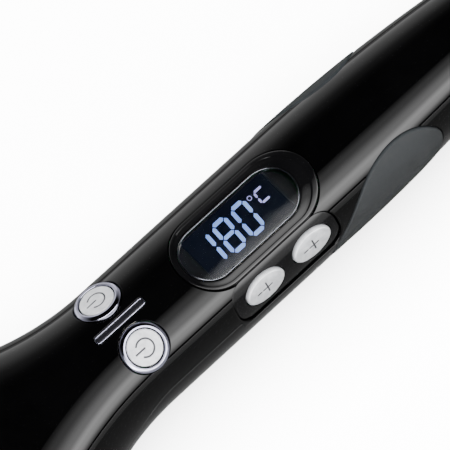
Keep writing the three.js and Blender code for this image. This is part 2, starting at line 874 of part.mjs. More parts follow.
// ---------- boards ----------
function controlBoard() {
  const low = boardTop - boardThickness;
  return join(
    box(-10, controlBoardBackX, -10.6, 14.5, low, boardTop),
    box(20, 34, -6, 8, low - 1.4, low + 0.1),
    box(48, 56, -4, 4, low - 1.2, low + 0.1),
    box(66, 78, -8, -2, low - 3, low + 0.1),
    box(66, 78, 2, 9, low - 2.2, low + 0.1),
  );
}

const beeperX = controlBoardBackX - 9;

const beeper = () => cut(
  uprightRod(beeperX, 3, boardTop + gap, boardTop + 4.2, 4.8),
  uprightRod(beeperX, 3, boardTop + 3, boardTop + 6, 1),
);

const powerBoardTop = -3.4;

function powerBoard() {
  const low = powerBoardTop - boardThickness;
  return join(
    box(powerBoardFrontX, powerBoardBackX, -9.5, 9.5, low, powerBoardTop),
    box(powerBoardFrontX + 2, powerBoardFrontX + 8, -8, 8, low - 1.5, low + 0.1),
    box(powerBoardBackX - 11, powerBoardBackX - 4, -5, 5, low - 2, low + 0.1),
  );
}

const powerZ = powerBoardTop + gap;
const capacitor = () => box(powerBoardBackX - 15, powerBoardBackX - 3, -9.5, -4.6, powerZ, powerZ + 10);
const triac = () => join(
  box(powerBoardBackX - 13, powerBoardBackX - 3, 4.8, 9, powerZ, powerZ + 8),
  box(powerBoardBackX - 13, powerBoardBackX - 3, 6, 8, powerZ + 7.9, powerZ + 10),
);

// ---------- tail ----------
function tailCap() {
  const from = handleLength + gap;
  const bore = swivelRadius + running;
  const pocket = swivelFlange + running;
  const round = spread(0, Math.PI / 2, 4).map((angle) => [
    from + 2 + (capLength - 2) * Math.sin(angle),
    capEndRadius + (tailRadius - capEndRadius) * Math.cos(angle),
  ]);
  return turned(
    [
      [from - 5, pocket],
      [from - 5, tailRadius - wall - gap],
      [from, tailRadius - wall - gap],
      [from, tailRadius],
      ...round,
      [capEndX, bore],
      [capEndX - 3, bore],
      [capEndX - 3, pocket],
      [from - 5, pocket],
    ],
    { segments: sides },
  );
}

function cordSwivel() {
  const flangeX = capEndX - 3 - running;
  return turned([
    [flangeX - 2.4, cordBore],
    [flangeX - 2.4, swivelFlange],
    [flangeX, swivelFlange],
    [flangeX, swivelRadius],
    [capEndX + running, swivelRadius],
    [capEndX + running, swivelRadius + 1.4],
    [capEndX + 3, swivelRadius + 1.4],
    [capEndX + 4, swivelRadius],
    [tailX - 0.8, swivelRadius - 0.4],
    [tailX, swivelRadius - 1.2],
    [tailX, cordBore],
    [flangeX - 2.4, cordBore],
  ]);
}

function swivelRetainer() {
  const back = capEndX - 3 - 2 * running - 2.4;
  return ring(back - 1.6, back, swivelRadius, swivelFlange + running - gap);
}

// ---------- screws and leads ----------
function screw([x, y]) {
  const head = screwSeat - gap;
  const points = [
    [head - 2, 0],
    [head - 2, screwHead - 0.6],
    [head - 1.2, screwHead],
    [head, screwHead],
    [head, screwShank],
    [8.5, screwShank],
    [9.5, 0],
  ].map(([z, radius]) => new THREE.Vector2(radius, z));
  const geometry = new THREE.LatheGeometry(points, smallSides);
  geometry.rotateX(Math.PI / 2);
  geometry.translate(x, y, 0);
  const cross = join(
    box(x - 1.6, x + 1.6, y - 0.35, y + 0.35, head - 3, head - 1),
    box(x - 0.35, x + 0.35, y - 1.6, y + 1.6, head - 3, head - 1),
  );
  return solidOf(geometry).subtract(cross);
}

// A round lead along a curve through a few points.
function lead(points, radius = 0.9) {
  const path = new THREE.CatmullRomCurve3(points.map((point) => new THREE.Vector3(...point)));
  const outline = new THREE.Shape();
  for (const share of spread(0, 5 / 6, 5)) {
    const angle = share * 2 * Math.PI;
    const point = [radius * Math.cos(angle), radius * Math.sin(angle)];
    if (share === 0) outline.moveTo(...point);
    else outline.lineTo(...point);
  }
  outline.closePath();
  const geometry = new THREE.ExtrudeGeometry(outline, { steps: 10, bevelEnabled: false, extrudePath: path });
  return solidOf(geometry);
}

const boardEdge = [-10 - gap, boardTop - boardThickness / 2];

function heaterLead(side) {
  return lead([
    [heaterBackX + 0.5, side * 1.6, 0],
    [bracketFrontX, side * 1.6, 0],
    [bracketBackX + 8, side * 1.8, 0],
    [-26, side * 3, 2.6],
    [boardEdge[0], side * 3, boardEdge[1]],
  ]);
}

function motorLead() {
  const motorEnd = gearboxX + gearboxLength + gap + motorLength;
  return lead([
    [motorEnd + 1, gearDistance - 5.4, 0],
    [motorEnd + 4, 8, 1],
    [-26, 7.6, 2.8],
    [boardEdge[0], 7.6, boardEdge[1]],
  ], 0.7);
}

// ---------- materials ----------
function finish(color, roughness, metalness = 0) {
  return new THREE.MeshStandardMaterial({ color, roughness, metalness });
}
const glossBlack = finish(0x0a0a0c, 0.08);
const bezelBlack = finish(0x111114, 0.12);
const liner = finish(0x1b1b1e, 0.5);
const ceramic = finish(0x2a2422, 0.28, 0.1);
const aluminium = finish(0xb8bbc0, 0.35, 1);
const steel = finish(0x9a9ca0, 0.3, 1);
const brightChrome = finish(0xdfe1ee, 0.08, 1);
const satinSilver = finish(0xc9cacd, 0.3, 1);
const slate = finish(0x3c4246, 0.75);
const clear = finish(0x1a2438, 0.04);
const screenBlue = finish(0x141c30, 0.3);
const smoke = finish(0x8a8e94, 0.15);
const circuit = finish(0x1f4a34, 0.5);
const component = finish(0x202024, 0.45);
const nylon = finish(0xd8d4c8, 0.5);
const copper = finish(0xa03028, 0.5);

// ---------- the whole ----------
const iron = new THREE.Group();
iron.name = "curling_iron";

function place(name, solid, material) {
  const mesh = new THREE.Mesh(geometryOf(solid), material);
  mesh.name = name;
  iron.add(mesh);
}

place("top_cover", topCover(), glossBlack);
place("bottom_cover", bottomCover(), glossBlack);
place("side_band_left", sideBand(-1, tipX - 5, handleLength + 5), glossBlack);
place("side_band_right_front", sideBand(1, tipX - 5, panelX), glossBlack);
place("side_band_right_rear", sideBand(1, panelX, handleLength + 5), glossBlack);
place("chamber_liner_left", chamberLiner(-1), liner);
place("chamber_liner_right", chamberLiner(1), liner);
place("chamber_base", chamberBase(), liner);

place("display_bezel", displayBezel(), bezelBlack);
place("display_window", displayWindow(), clear);
place("display_module", displayModule(), screenBlue);
place("display_holder", displayHolder(), nylon);

place("button_panel", buttonPanel(), bezelBlack);
place("side_board", sideBoard(), circuit);
for (const [name, x] of Object.entries(ovalPlaces)) {
  place(name, ovalButton(x), satinSilver);
  const pressed = tactSwitch(x, panelAngle, sideBoardTop, switchBody, plunger);
  place(name.replace("button", "switch"), pressed, component);
}

for (const [name, side] of [["left", -1], ["right", 1]]) {
  place("turn_button_" + name, turnButton(side), satinSilver);
  place("turn_ring_" + name, turnRing(side), brightChrome);
  const turnSwitch = tactSwitch(turnX, side * turnAngle, carrierSeat, turnSwitchBody, turnSwitchPlunger);
  place("turn_switch_" + name, turnSwitch, component);
  place("grip_pad_" + name, gripPad(side), slate);
  place("heater_lead_" + name, heaterLead(-side), copper);
}
place("switch_carrier", switchCarrier(), nylon);
place("light_lens", lightLens(), smoke);
place("light_led", lightLed(), nylon);

place("control_board", controlBoard(), circuit);
place("beeper", beeper(), component);
place("power_board", powerBoard(), circuit);
place("capacitor", capacitor(), copper);
place("triac", triac(), component);

place("motor_bracket", motorBracket(), steel);
place("gearbox", gearbox(), steel);
place("motor", motor(), steel);
place("motor_lead", motorLead(), copper);
place("pinion", pinion(), nylon);
place("rotor_gear", rotorGear(), nylon);
place("rotor", rotor(), liner);
place("rotor_bush", rotorBush(), nylon);
place("spindle", spindle(), steel);

place("barrel", barrel(), ceramic);
place("barrel_base", barrelBase(), nylon);
place("barrel_cap", barrelCap(), liner);
place("heater_plate", heaterPlate(), nylon);
place("heat_spreader_upper", heatSpreader(1), aluminium);
place("heat_spreader_lower", heatSpreader(-1), aluminium);
place("thermistor", probe(1), nylon);
place("thermal_fuse", probe(-1), steel);

place("tail_cap", tailCap(), glossBlack);
place("cord_swivel", cordSwivel(), liner);
place("swivel_retainer", swivelRetainer(), nylon);
screwPlaces.forEach((at, i) => place("screw_" + (i + 1), screw(at), steel));

// The origin is under the middle of the whole, on the surface that it lies on.
iron.position.set(-(tipX + tailX) / 2, 0, -footZ);

export default iron;
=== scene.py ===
"""An automatic curling iron: gloss black handle, display, buttons, grip pads and an open curling head.

Shapes are worked out in millimetres in the maker's frame: x = 0 where the handle meets the neck, +x to
the tail, the handle's axis on y = z = 0, the display facing up. to_row() carries them to the row frame.
"""

import math

import bpy
import numpy as np
from mathutils import Matrix, Vector


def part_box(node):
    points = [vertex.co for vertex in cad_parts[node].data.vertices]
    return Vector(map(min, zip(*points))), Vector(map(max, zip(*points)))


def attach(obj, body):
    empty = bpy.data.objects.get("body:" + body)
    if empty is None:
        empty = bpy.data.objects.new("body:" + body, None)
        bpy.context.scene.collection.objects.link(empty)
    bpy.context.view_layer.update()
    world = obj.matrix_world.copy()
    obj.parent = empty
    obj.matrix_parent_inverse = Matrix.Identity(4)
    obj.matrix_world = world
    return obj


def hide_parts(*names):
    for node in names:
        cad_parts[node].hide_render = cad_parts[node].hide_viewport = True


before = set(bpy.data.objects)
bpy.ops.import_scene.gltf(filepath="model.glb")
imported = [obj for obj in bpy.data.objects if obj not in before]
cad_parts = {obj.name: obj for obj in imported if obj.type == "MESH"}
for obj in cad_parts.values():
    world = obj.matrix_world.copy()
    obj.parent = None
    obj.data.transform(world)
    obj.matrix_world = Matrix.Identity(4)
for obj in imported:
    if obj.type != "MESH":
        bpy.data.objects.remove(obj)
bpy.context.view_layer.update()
for plain in list(bpy.data.materials):
    plain.name = "plain_" + plain.name

# ---------- sizes in millimetres, angles in degrees from the top towards -y ----------
MM = 0.001
HANDLE_RADIUS = 20.9
TAIL_SLIM = 5.8
HANDLE_LENGTH = 154.0
TAPER_FROM = 74.0
NECK_LENGTH = 80.0
TIP_X = -140.0
TIP_ROUND_X = -110.0
TIP_LIP = 3.0
WALL = 2.6
GAP = 0.3
CHAMBER_X = -86.0
CHAMBER_RADIUS = 28.0
LINER_WALL = 2.0
WINDOW_TIP_HALF = 21.0
WINDOW_BASE_HALF = 17.0
FOOT_Z = -29.6
COVER_ANGLE = 49.45
BAND_ANGLE = 77.0
PANEL_BAND_ANGLE = 85.8
PANEL_START_X = 27.6
BAND_TURN_LENGTH = 25.0
FAR = 70.0

DISPLAY_X = 44.7
DISPLAY_ANGLE = 6.0
PANEL_X = 47.9
PANEL_ANGLE = 64.48
PANEL_DEPTH = 0.9
OVALS = {"minus_button": 39.2, "plus_button": 58.0}
TURN_X = -0.7
TURN_ANGLE = 29.3
RING_RADIUS = 7.5
RING_HOLE = 5.85
RING_TOP = 21.4
PAD_X = 87.3
PAD_ANGLE = 75.0
WINDOW = (42.2, 17.2)
OVAL = (14.3, 8.9)
MODULE_TOP = 17.31
MODULE_LENGTH = 32.4
MODULE_WIDTH = 15.2
BARREL_RADIUS = 12.5
BARREL_BORE = 10.2
ROTOR_RADIUS = 26.5
HUB_RADIUS = 9.0
HUB_BORE = 6.2
HUB_END_X = -71.7
FINGER_LENGTH = 28.0
FINGER_OUTER = 24.5
TAIL_RADIUS = 15.1
SCREWS = ((94.0, 0.0), (141.0, 0.0), (-34.0, 14.0), (-34.0, -14.0))

barrel_low, barrel_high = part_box("barrel")
axis_z = (barrel_low.z + barrel_high.z) / 2
SHIFT = np.array([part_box("top_cover")[0].x / MM - TIP_X, 0.0, axis_z / MM])


def to_row(points):
    """Points of the maker's frame in millimetres, moved by the shift and scaled to metres."""
    return (np.asarray(points, float) + SHIFT) * MM


# ---------- the outer form ----------
def ease(t):
    """t squared times (1.25 + 1.5 t - 1.75 t squared): 0 at 0 and 1 at 1, rising from rest."""
    return t * t * (1.25 + 1.5 * t - 1.75 * t * t)


HEAD_WIDER, HEAD_HIGHER = 22.1, 10.1
TIP_NARROWER, TIP_LOWER = 7.5, 3.4
HEAD_SQUARER = 0.4


def section(x, offset=0.0):
    """Half width, half height and power of the body's section at x, moved outwards by offset."""
    flare = ease(np.clip(-x / NECK_LENGTH, 0, 1))
    closing = np.maximum(0, (TIP_ROUND_X - x) / (TIP_ROUND_X - TIP_X)) ** 2
    lip = np.clip((TIP_X + TIP_LIP - x) / TIP_LIP, 0, 1)
    taper = np.maximum(0, (x - TAPER_FROM) / (HANDLE_LENGTH - TAPER_FROM)) ** 2
    grow = offset - TIP_LIP * (1 - np.sqrt(1 - lip * lip)) - TAIL_SLIM * taper
    half_width = HANDLE_RADIUS + HEAD_WIDER * flare - TIP_NARROWER * closing + grow
    half_height = HANDLE_RADIUS + HEAD_HIGHER * flare - TIP_LOWER * closing + grow
    return half_width, half_height, 2 + HEAD_SQUARER * flare


def on_body(x, angle, offset=0.0):
    """The point of the section at x: y = -W |sin|^(2/p) and z = H |cos|^(2/p), with the signs kept."""
    x, angle, offset = np.broadcast_arrays(x, angle, offset)
    width, height, power = section(x, offset)
    sine, cosine = np.sin(angle), np.cos(angle)
    y = -width * np.sign(sine) * np.abs(sine) ** (2 / power)
    z = height * np.sign(cosine) * np.abs(cosine) ** (2 / power)
    return np.stack([x, y, z], -1)


def level(points):
    """(|y| / W)^p + (|z| / H)^p, which is 1 on the body."""
    width, height, power = section(points[..., 0])
    return (np.abs(points[..., 1]) / width) ** power + (np.abs(points[..., 2]) / height) ** power


def outward(points):
    """The distance off the body and its unit direction, from the gradient of the level by differences."""
    step = 0.01
    gradient = np.stack(
        [(level(points + step * axis) - level(points - step * axis)) / (2 * step) for axis in np.eye(3)], -1
    )
    length = np.linalg.norm(gradient, axis=-1)
    return (level(points) - 1) / length, gradient / length[..., None]


def ways_at(angle):
    """Two directions at an angle from the top: round the body, and out of it along the radius."""
    turn = math.radians(angle)
    up_way = np.array([0, math.cos(turn), math.sin(turn)])
    return up_way, np.array([0, -math.sin(turn), math.cos(turn)])


def squared(x, angle, flat, height):
    """Flat [along, up] places on a plane square to the radius, at a height from the axis."""
    up_way, out_way = ways_at(angle)
    return np.array([x, 0, 0]) + flat[:, :1] * [1, 0, 0] + flat[:, 1:] * up_way + height * out_way


def lifted(x, angle, flat, height):
    """Points over flat [along, up] places seen from an angle, at a height over the body.

    A point is (x + along, 0, 0) + up e + t r, with r the direction of the angle and e square to it, and
    t found by Newton's steps so that the distance off the body is the height."""
    up_way, out_way = ways_at(angle)
    along, up = flat[..., 0], flat[..., 1]
    base = np.stack([x + along, 0 * along, 0 * along], -1) + up[..., None] * up_way
    radius = HANDLE_RADIUS + height
    reach = np.sqrt(np.maximum(radius**2 - up**2, 1.0))
    for _ in range(6):
        point = base + reach[..., None] * out_way
        distance, normal = outward(point)
        reach = reach - (distance - height) / np.maximum(normal @ out_way, 0.2)
    return base + reach[..., None] * out_way


# ---------- meshes ----------
def grid_faces(rows, cols, closed_cols=True, closed_rows=False):
    """Four-cornered faces of a grid of rows by cols points, closed or open each way."""
    down = rows if closed_rows else rows - 1
    across = cols if closed_cols else cols - 1
    i, j = np.meshgrid(np.arange(down), np.arange(across), indexing="ij")
    i, j = i.ravel(), j.ravel()
    ni, nj = (i + 1) % rows, (j + 1) % cols
    return np.stack([i * cols + j, i * cols + nj, ni * cols + nj, ni * cols + j], -1)


def volume(points, faces):
    """Six times the signed volume under the faces, each split from its first corner."""
    a, b, c = points[faces[:, 0]], points[faces[:, 1]], points[faces[:, 2]]
    total = np.einsum("ij,ij->i", a, np.cross(b, c)).sum()
    if faces.shape[1] == 4:
        d = points[faces[:, 3]]
        total += np.einsum("ij,ij->i", a, np.cross(c, d)).sum()
    return total


def mesh_object(name, shells, sharp=40.0):
    """One object from closed shells of (points, quads, triangles), each turned to face outwards."""
    points, faces, start = [], [], 0
    for shell_points, quads, triangles in shells:
        size = volume(shell_points, quads) if len(quads) else 0
        size += volume(shell_points, triangles) if len(triangles) else 0
        order = -1 if size < 0 else 1
        faces += [row[::order] for row in (quads + start).tolist()]
        faces += [row[::order] for row in (triangles + start).tolist()]
        points.append(shell_points)
        start += len(shell_points)
    mesh = bpy.data.meshes.new(name)
    mesh.from_pydata(to_row(np.concatenate(points)).tolist(), [], faces)
    mesh.validate()
    smooth(mesh, sharp)
    piece = bpy.data.objects.new(name, mesh)
    bpy.context.scene.collection.objects.link(piece)
    return piece


def smooth(mesh, sharp):
    """Smooth shading that breaks where two faces meet at more than sharp degrees."""
    mesh.shade_smooth()
    mesh.set_sharp_from_angle(angle=math.radians(sharp))


NO_FACES = np.zeros((0, 3), int)


def closed_rings(rings):
    """A shell from rings of points whose first and last rings are each closed by a fan to their middle."""
    rows, cols = rings.shape[:2]
    points = rings.reshape(-1, 3)
    ends = np.stack([rings[0].mean(0), rings[-1].mean(0)])
    j = np.arange(cols)
    nj = (j + 1) % cols
    first = np.stack([np.full(cols, rows * cols), nj, j], -1)
    last = np.stack([np.full(cols, rows * cols + 1), (rows - 1) * cols + j, (rows - 1) * cols + nj], -1)
    return np.concatenate([points, ends]), grid_faces(rows, cols), np.concatenate([first, last])


def torus_rings(rings):
    """A shell from rings of points where the last ring joins the first."""
    rows, cols = rings.shape[:2]
    return rings.reshape(-1, 3), grid_faces(rows, cols, True, True), NO_FACES


def lathe(profile, steps=128):
    """Rings of a profile of [x, radius] turned round the x axis."""
    profile = np.asarray(profile, float)
    turn = np.linspace(0, 2 * math.pi, steps, endpoint=False)
    x = np.repeat(profile[:, :1], steps, 1)
    return np.stack([x, profile[:, 1:] * np.cos(turn), profile[:, 1:] * np.sin(turn)], -1)


def turned(profile, steps=128, hollow=False):
    """The shell of a lathe profile, closed on itself if hollow and by its two ends if not."""
    return (torus_rings if hollow else closed_rings)(lathe(profile, steps))


def rounded(corners, radii, steps=5):
    """Corners of a flat profile, each rounded by an arc that touches both its sides, with a support point
    a little before and after each arc so that shading stays flat on the sides."""
    corners = np.asarray(corners, float)
    made = []
    count = len(corners)
    for i, radius in enumerate(radii):
        here = corners[i]
        if radius <= 0:
            made.append(here[None])
            continue
        before, after = corners[i - 1] - here, corners[(i + 1) % count] - here
        room = min(np.linalg.norm(before), np.linalg.norm(after)) * 0.48
        before, after = before / np.linalg.norm(before), after / np.linalg.norm(after)
        half = math.acos(np.clip(before @ after, -1, 1)) / 2
        reach = min(radius / math.tan(half), room)
        size = reach * math.tan(half)
        middle = here + (before + after) / np.linalg.norm(before + after) * size / math.sin(half)
        first, last = here + before * reach, here + after * reach
        share = np.linspace(0, 1, steps + 1)[:, None]
        arc = first - middle + (last - first) * share
        arc = middle + arc / np.linalg.norm(arc, axis=1)[:, None] * size
        spare = min(0.25 * size, 0.4 * (room / 0.48 - reach))
        made.append(np.concatenate([[first + before * spare], arc, [last + after * spare]]))
    return np.concatenate(made)


# ---------- outlines: a core line, its outward direction and a radius ----------
def stadium(length, width, shift=0.0, arc=40, straight=24):
    """Round-ended bar: the core is a straight line run there and back, and the radius half the width."""
    reach = (length - width) / 2
    turn = np.linspace(-math.pi / 2, math.pi / 2, arc)
    line = np.linspace(reach, -reach, straight + 2)[1:-1]
    core_x = np.concatenate([np.full(arc, reach), line, np.full(arc, -reach), -line])
    side = np.full(straight, math.pi / 2)
    angle = np.concatenate([turn, side, turn + math.pi, -side])
    core = np.stack([core_x + shift, 0 * core_x], -1)
    return core, np.stack([np.cos(angle), np.sin(angle)], -1), width / 2


def rounded_bar(length, width, corner, arc=14, straight=16):
    """Rectangle with round corners: the core is the corners' rectangle, and the radius the corner's."""
    x, y = length / 2 - corner, width / 2 - corner
    quarter = np.linspace(0, math.pi / 2, arc)
    cores, angles = [], []
    places = ((x, y), (-x, y), (-x, -y), (x, -y))
    for i, place in enumerate(places):
        following = places[(i + 1) % 4]
        share = np.linspace(0, 1, straight + 2)[1:-1, None]
        cores += [np.tile(place, (arc, 1)), np.array(place) * (1 - share) + np.array(following) * share]
        angles += [quarter + i * math.pi / 2, np.full(straight, (i + 1) * math.pi / 2)]
    angle = np.concatenate(angles)
    return np.concatenate(cores), np.stack([np.cos(angle), np.sin(angle)], -1), corner


def ellipse(length, width, count=160):
    """Ellipse of two half axes, with its true outward directions."""
    turn = np.linspace(0, 2 * math.pi, count, endpoint=False)
    core = np.stack([length / 2 * np.cos(turn), width / 2 * np.sin(turn)], -1)
    way = np.stack([np.cos(turn) / length, np.sin(turn) / width], -1)
    return core, way / np.linalg.norm(way, axis=1)[:, None], 0.0


LEAF = np.array(
    [[0, -8], [0.2, 1.5], [0.42, 8.6], [0.65, 10.9], [0.85, 8.8], [0.98, 2.5], [0.96, -5], [0.82, -10],
     [0.4, -10.6], [0.12, -9.6]]
)  # [share of the length, millimetres across]


def leaf(side, length=48.0, steps=20):
    """A closed smooth curve through the leaf's ten points, pointed to the head and round to the tail.

    Between two points it is the cubic whose slope at each is half the step between its neighbours."""
    points = np.stack([(LEAF[:, 0] - 0.5) * length, side * LEAF[:, 1]], -1)
    count = len(points)
    share = np.linspace(0, 1, steps, endpoint=False)[:, None]
    made = []
    for i in range(count):
        p0, p1, p2, p3 = (points[(i + k) % count] for k in (-1, 0, 1, 2))
        made.append(
            0.5 * (2 * p1 + (p2 - p0) * share + (2 * p0 - 5 * p1 + 4 * p2 - p3) * share**2
                   + (3 * p1 - p0 - 3 * p2 + p3) * share**3)
        )
    core = np.concatenate(made)
    run = np.roll(core, -2, 0) - np.roll(core, 2, 0)
    way = np.stack([run[:, 1], -run[:, 0]], -1) * (1 if side < 0 else -1)
    way = way / np.linalg.norm(way, axis=1)[:, None]
    if ((core - core.mean(0)) * way).sum() < 0:
        way = -way
    return core, way, 0.0


def drawn(outline, margin=0.0):
    """The outline's points, moved outwards by a margin."""
    core, way, radius = outline
    return core + way * (radius + margin)


# ---------- pieces set into the body ----------
def fillet(radius, steps=5, top=0.0):
    """[margin, height] pairs of a rolled upper edge, from the side to the top, with support points."""
    turn = np.linspace(0, math.pi / 2, steps + 1)
    pairs = np.stack([-radius * (1 - np.cos(turn)), top - radius * (1 - np.sin(turn))], -1)
    return np.concatenate([[[0, top - radius - 0.3 * radius]], pairs, [[-radius * 1.3, top]]])


def inset(x, angle, outline, profile, inner=24):
    """A plug of an outline: [margin, height] rings up its side, then rings shrinking to the middle at the
    last ring's height."""
    profile = np.asarray(profile, float)
    centre = drawn(outline).mean(0)
    rings = []
    lowest = drawn(outline, profile[0, 0])
    for share in (0.02, 0.5):
        rings.append(lifted(x, angle, centre + (lowest - centre) * share, profile[0, 1]))
    for margin, height in profile:
        rings.append(lifted(x, angle, drawn(outline, margin), height))
    edge = drawn(outline, profile[-1, 0])
    shares = np.linspace(1, 0, inner + 1)[1:-1]
    shares = np.append(shares, 0.3 / inner)
    for share in shares:
        rings.append(lifted(x, angle, centre + (edge - centre) * share, profile[-1, 1]))
    return closed_rings(np.stack(rings))


def rim(x, angle, outline, across):
    """A round-topped band along an outline, from its section's [margin, height] pairs."""
    return torus_rings(np.stack([lifted(x, angle, drawn(outline, m), h) for m, h in across]))


def trumpet(x, angle, outline, margin, roll, floor=-12.0, surface=0.0):
    """A cutter that follows an outline at a margin and flares along a rolled rim where it leaves the
    body, so the hole's edge is round: the margin grows by roll (1 - cos) as the height rises by roll sin."""
    last_turn, over, clear = math.radians(68), 0.06, 4.0
    turn = np.linspace(0, last_turn, 6)
    rolled = [(margin + roll * (1 - math.cos(t)), surface - roll + roll * math.sin(t)) for t in turn]
    end_margin, end_height = rolled[-1]
    beyond = (end_margin + (over + surface - end_height) * math.tan(last_turn), surface + over)
    profile = [(margin, floor), (margin, surface - roll * 1.3)] + rolled
    profile += [beyond, (beyond[0], surface + clear)]
    rings = [lifted(x, angle, drawn(outline, m), h) for m, h in profile]
    return closed_rings(np.stack(rings))


# ---------- cutting ----------
def evaluated(piece):
    """The piece with its modifiers applied, as a new mesh on the same object."""
    graph = bpy.context.evaluated_depsgraph_get()
    graph.update()
    mesh = bpy.data.meshes.new_from_object(piece.evaluated_get(graph), depsgraph=graph)
    mesh.name = piece.name
    piece.modifiers.clear()
    piece.data = mesh


def carve(piece, steps):
    """Booleans in order: each step is (operation, shell), and the helper objects are removed after."""
    helpers = []
    for i, (operation, shell) in enumerate(steps):
        helper = mesh_object(f"{piece.name}_cutter_{i}", [shell])
        modifier = piece.modifiers.new(f"step_{i}", "BOOLEAN")
        modifier.operation = operation
        modifier.solver = "MANIFOLD"
        modifier.object = helper
        helpers.append(helper)
    evaluated(piece)
    for helper in helpers:
        bpy.data.objects.remove(helper)


def polish(piece, height=0.0, sharp=32.0, near=0.03):
    """Shading directions: corners that lie at the height over the body and already face nearly outwards
    take the body's own direction; all others keep the angle-split average of their faces."""
    mesh = piece.data
    smooth(mesh, sharp)
    places = np.zeros(len(mesh.vertices) * 3, np.float32)
    mesh.vertices.foreach_get("co", places)
    places = places.reshape(-1, 3).astype(float) / MM - SHIFT
    distance, body_way = outward(places)
    corners = np.zeros(len(mesh.loops), np.int32)
    mesh.loops.foreach_get("vertex_index", corners)
    ways = np.zeros(len(mesh.loops) * 3, np.float32)
    mesh.corner_normals.foreach_get("vector", ways)
    ways = ways.reshape(-1, 3).astype(float)
    wanted = body_way[corners]
    on_surface = np.abs(distance[corners] - height) < near
    agree = (ways * wanted).sum(1) > math.cos(math.radians(40))
    ways[on_surface & agree] = wanted[on_surface & agree]
    mesh.normals_split_custom_set(ways.tolist())


# ---------- finishes ----------
def finish_of(name):
    """A new material with its node tree, its shader and a helper that adds a node."""
    material = bpy.data.materials.new(name)
    material.use_nodes = True
    tree = material.node_tree
    shader = tree.nodes["Principled BSDF"]

    def add(kind, **values):
        node = tree.nodes.new(kind)
        for key, value in values.items():
            if key in node.inputs.keys():
                node.inputs[key].default_value = value
            else:
                setattr(node, key, value)
        return node

    return material, tree, shader, add


def ramped(ramp, stops):
    """Sets a colour ramp's [position, colour] stops."""
    elements = ramp.color_ramp.elements
    while len(elements) < len(stops):
        elements.new(0.5)
    for element, (position, colour) in zip(elements, stops):
        element.position = position
        element.color = (*colour, 1)


def speckled(name, dark, light, rough, scale, bump=0.0, bump_scale=None, metallic=0.0, coat=0.0,
             contrast=(0.35, 0.65), scratches=0.0, specular=0.5):
    """A moulded, painted or metal finish: colour and roughness drift with one noise, fine scratches and a
    fine grain roughen and bump it. rough is (least, most) roughness, scale the noise per metre."""
    material, tree, shader, add = finish_of(name)
    link = tree.links.new
    shader.inputs["Metallic"].default_value = metallic
    shader.inputs["Specular IOR Level"].default_value = specular
    if coat:
        shader.inputs["Coat Weight"].default_value = coat
        shader.inputs["Coat Roughness"].default_value = 0.03
    place = add("ShaderNodeTexCoord")
    drift = add("ShaderNodeTexNoise", Scale=scale, Detail=5.0, Roughness=0.55)
    link(place.outputs["Object"], drift.inputs["Vector"])
    tone = add("ShaderNodeValToRGB")
    ramped(tone, [(contrast[0], dark), (contrast[1], light)])
    link(drift.outputs["Fac"], tone.inputs["Fac"])
    link(tone.outputs["Color"], shader.inputs["Base Color"])
    smear = add("ShaderNodeMapRange")
    smear.inputs["To Min"].default_value = rough[0]
    smear.inputs["To Max"].default_value = rough[1]
    smear.inputs["From Min"].default_value = 0.3
    smear.inputs["From Max"].default_value = 0.7
    link(drift.outputs["Fac"], smear.inputs["Value"])
    rough_out = smear.outputs["Result"]
    if scratches:
        lines = add("ShaderNodeTexNoise", Scale=scale * 12, Detail=2.0)
        long_way = add("ShaderNodeMapping")
        long_way.inputs["Scale"].default_value = (0.06, 1.0, 1.0)
        link(place.outputs["Object"], long_way.inputs["Vector"])
        link(long_way.outputs["Vector"], lines.inputs["Vector"])
        thin = add("ShaderNodeMapRange")
        thin.inputs["From Min"].default_value = 0.62
        thin.inputs["From Max"].default_value = 0.75
        thin.inputs["To Min"].default_value = 0.0
        thin.inputs["To Max"].default_value = scratches
        link(lines.outputs["Fac"], thin.inputs["Value"])
        total = add("ShaderNodeMath", operation="ADD")
        link(smear.outputs["Result"], total.inputs[0])
        link(thin.outputs["Result"], total.inputs[1])
        rough_out = total.outputs["Value"]
    link(rough_out, shader.inputs["Roughness"])
    if bump:
        grain = add("ShaderNodeTexNoise", Scale=bump_scale or scale * 8, Detail=3.0)
        link(place.outputs["Object"], grain.inputs["Vector"])
        raised = add("ShaderNodeBump", Strength=1.0, Distance=bump)
        link(grain.outputs["Fac"], raised.inputs["Height"])
        link(raised.outputs["Normal"], shader.inputs["Normal"])
    return material


def marked(material, mark_colour, amount=0.96):
    """Darkens a finish where the piece's "mark" attribute is 1, as in an engraved sign."""
    tree = material.node_tree
    shader = tree.nodes["Principled BSDF"]
    before = shader.inputs["Base Color"].links[0].from_socket
    sign = tree.nodes.new("ShaderNodeAttribute")
    sign.attribute_name = "mark"
    scale = tree.nodes.new("ShaderNodeMath")
    scale.operation = "MULTIPLY"
    scale.inputs[1].default_value = amount
    tree.links.new(sign.outputs["Fac"], scale.inputs[0])
    mix = tree.nodes.new("ShaderNodeMix")
    mix.data_type = "RGBA"
    colours_in = {socket.name: socket for socket in mix.inputs if socket.type == "RGBA"}
    colour_out = [socket for socket in mix.outputs if socket.type == "RGBA"][0]
    colours_in["B"].default_value = (*mark_colour, 1)
    tree.links.new(scale.outputs["Value"], mix.inputs["Factor"])
    tree.links.new(before, colours_in["A"])
    tree.links.new(colour_out, shader.inputs["Base Color"])


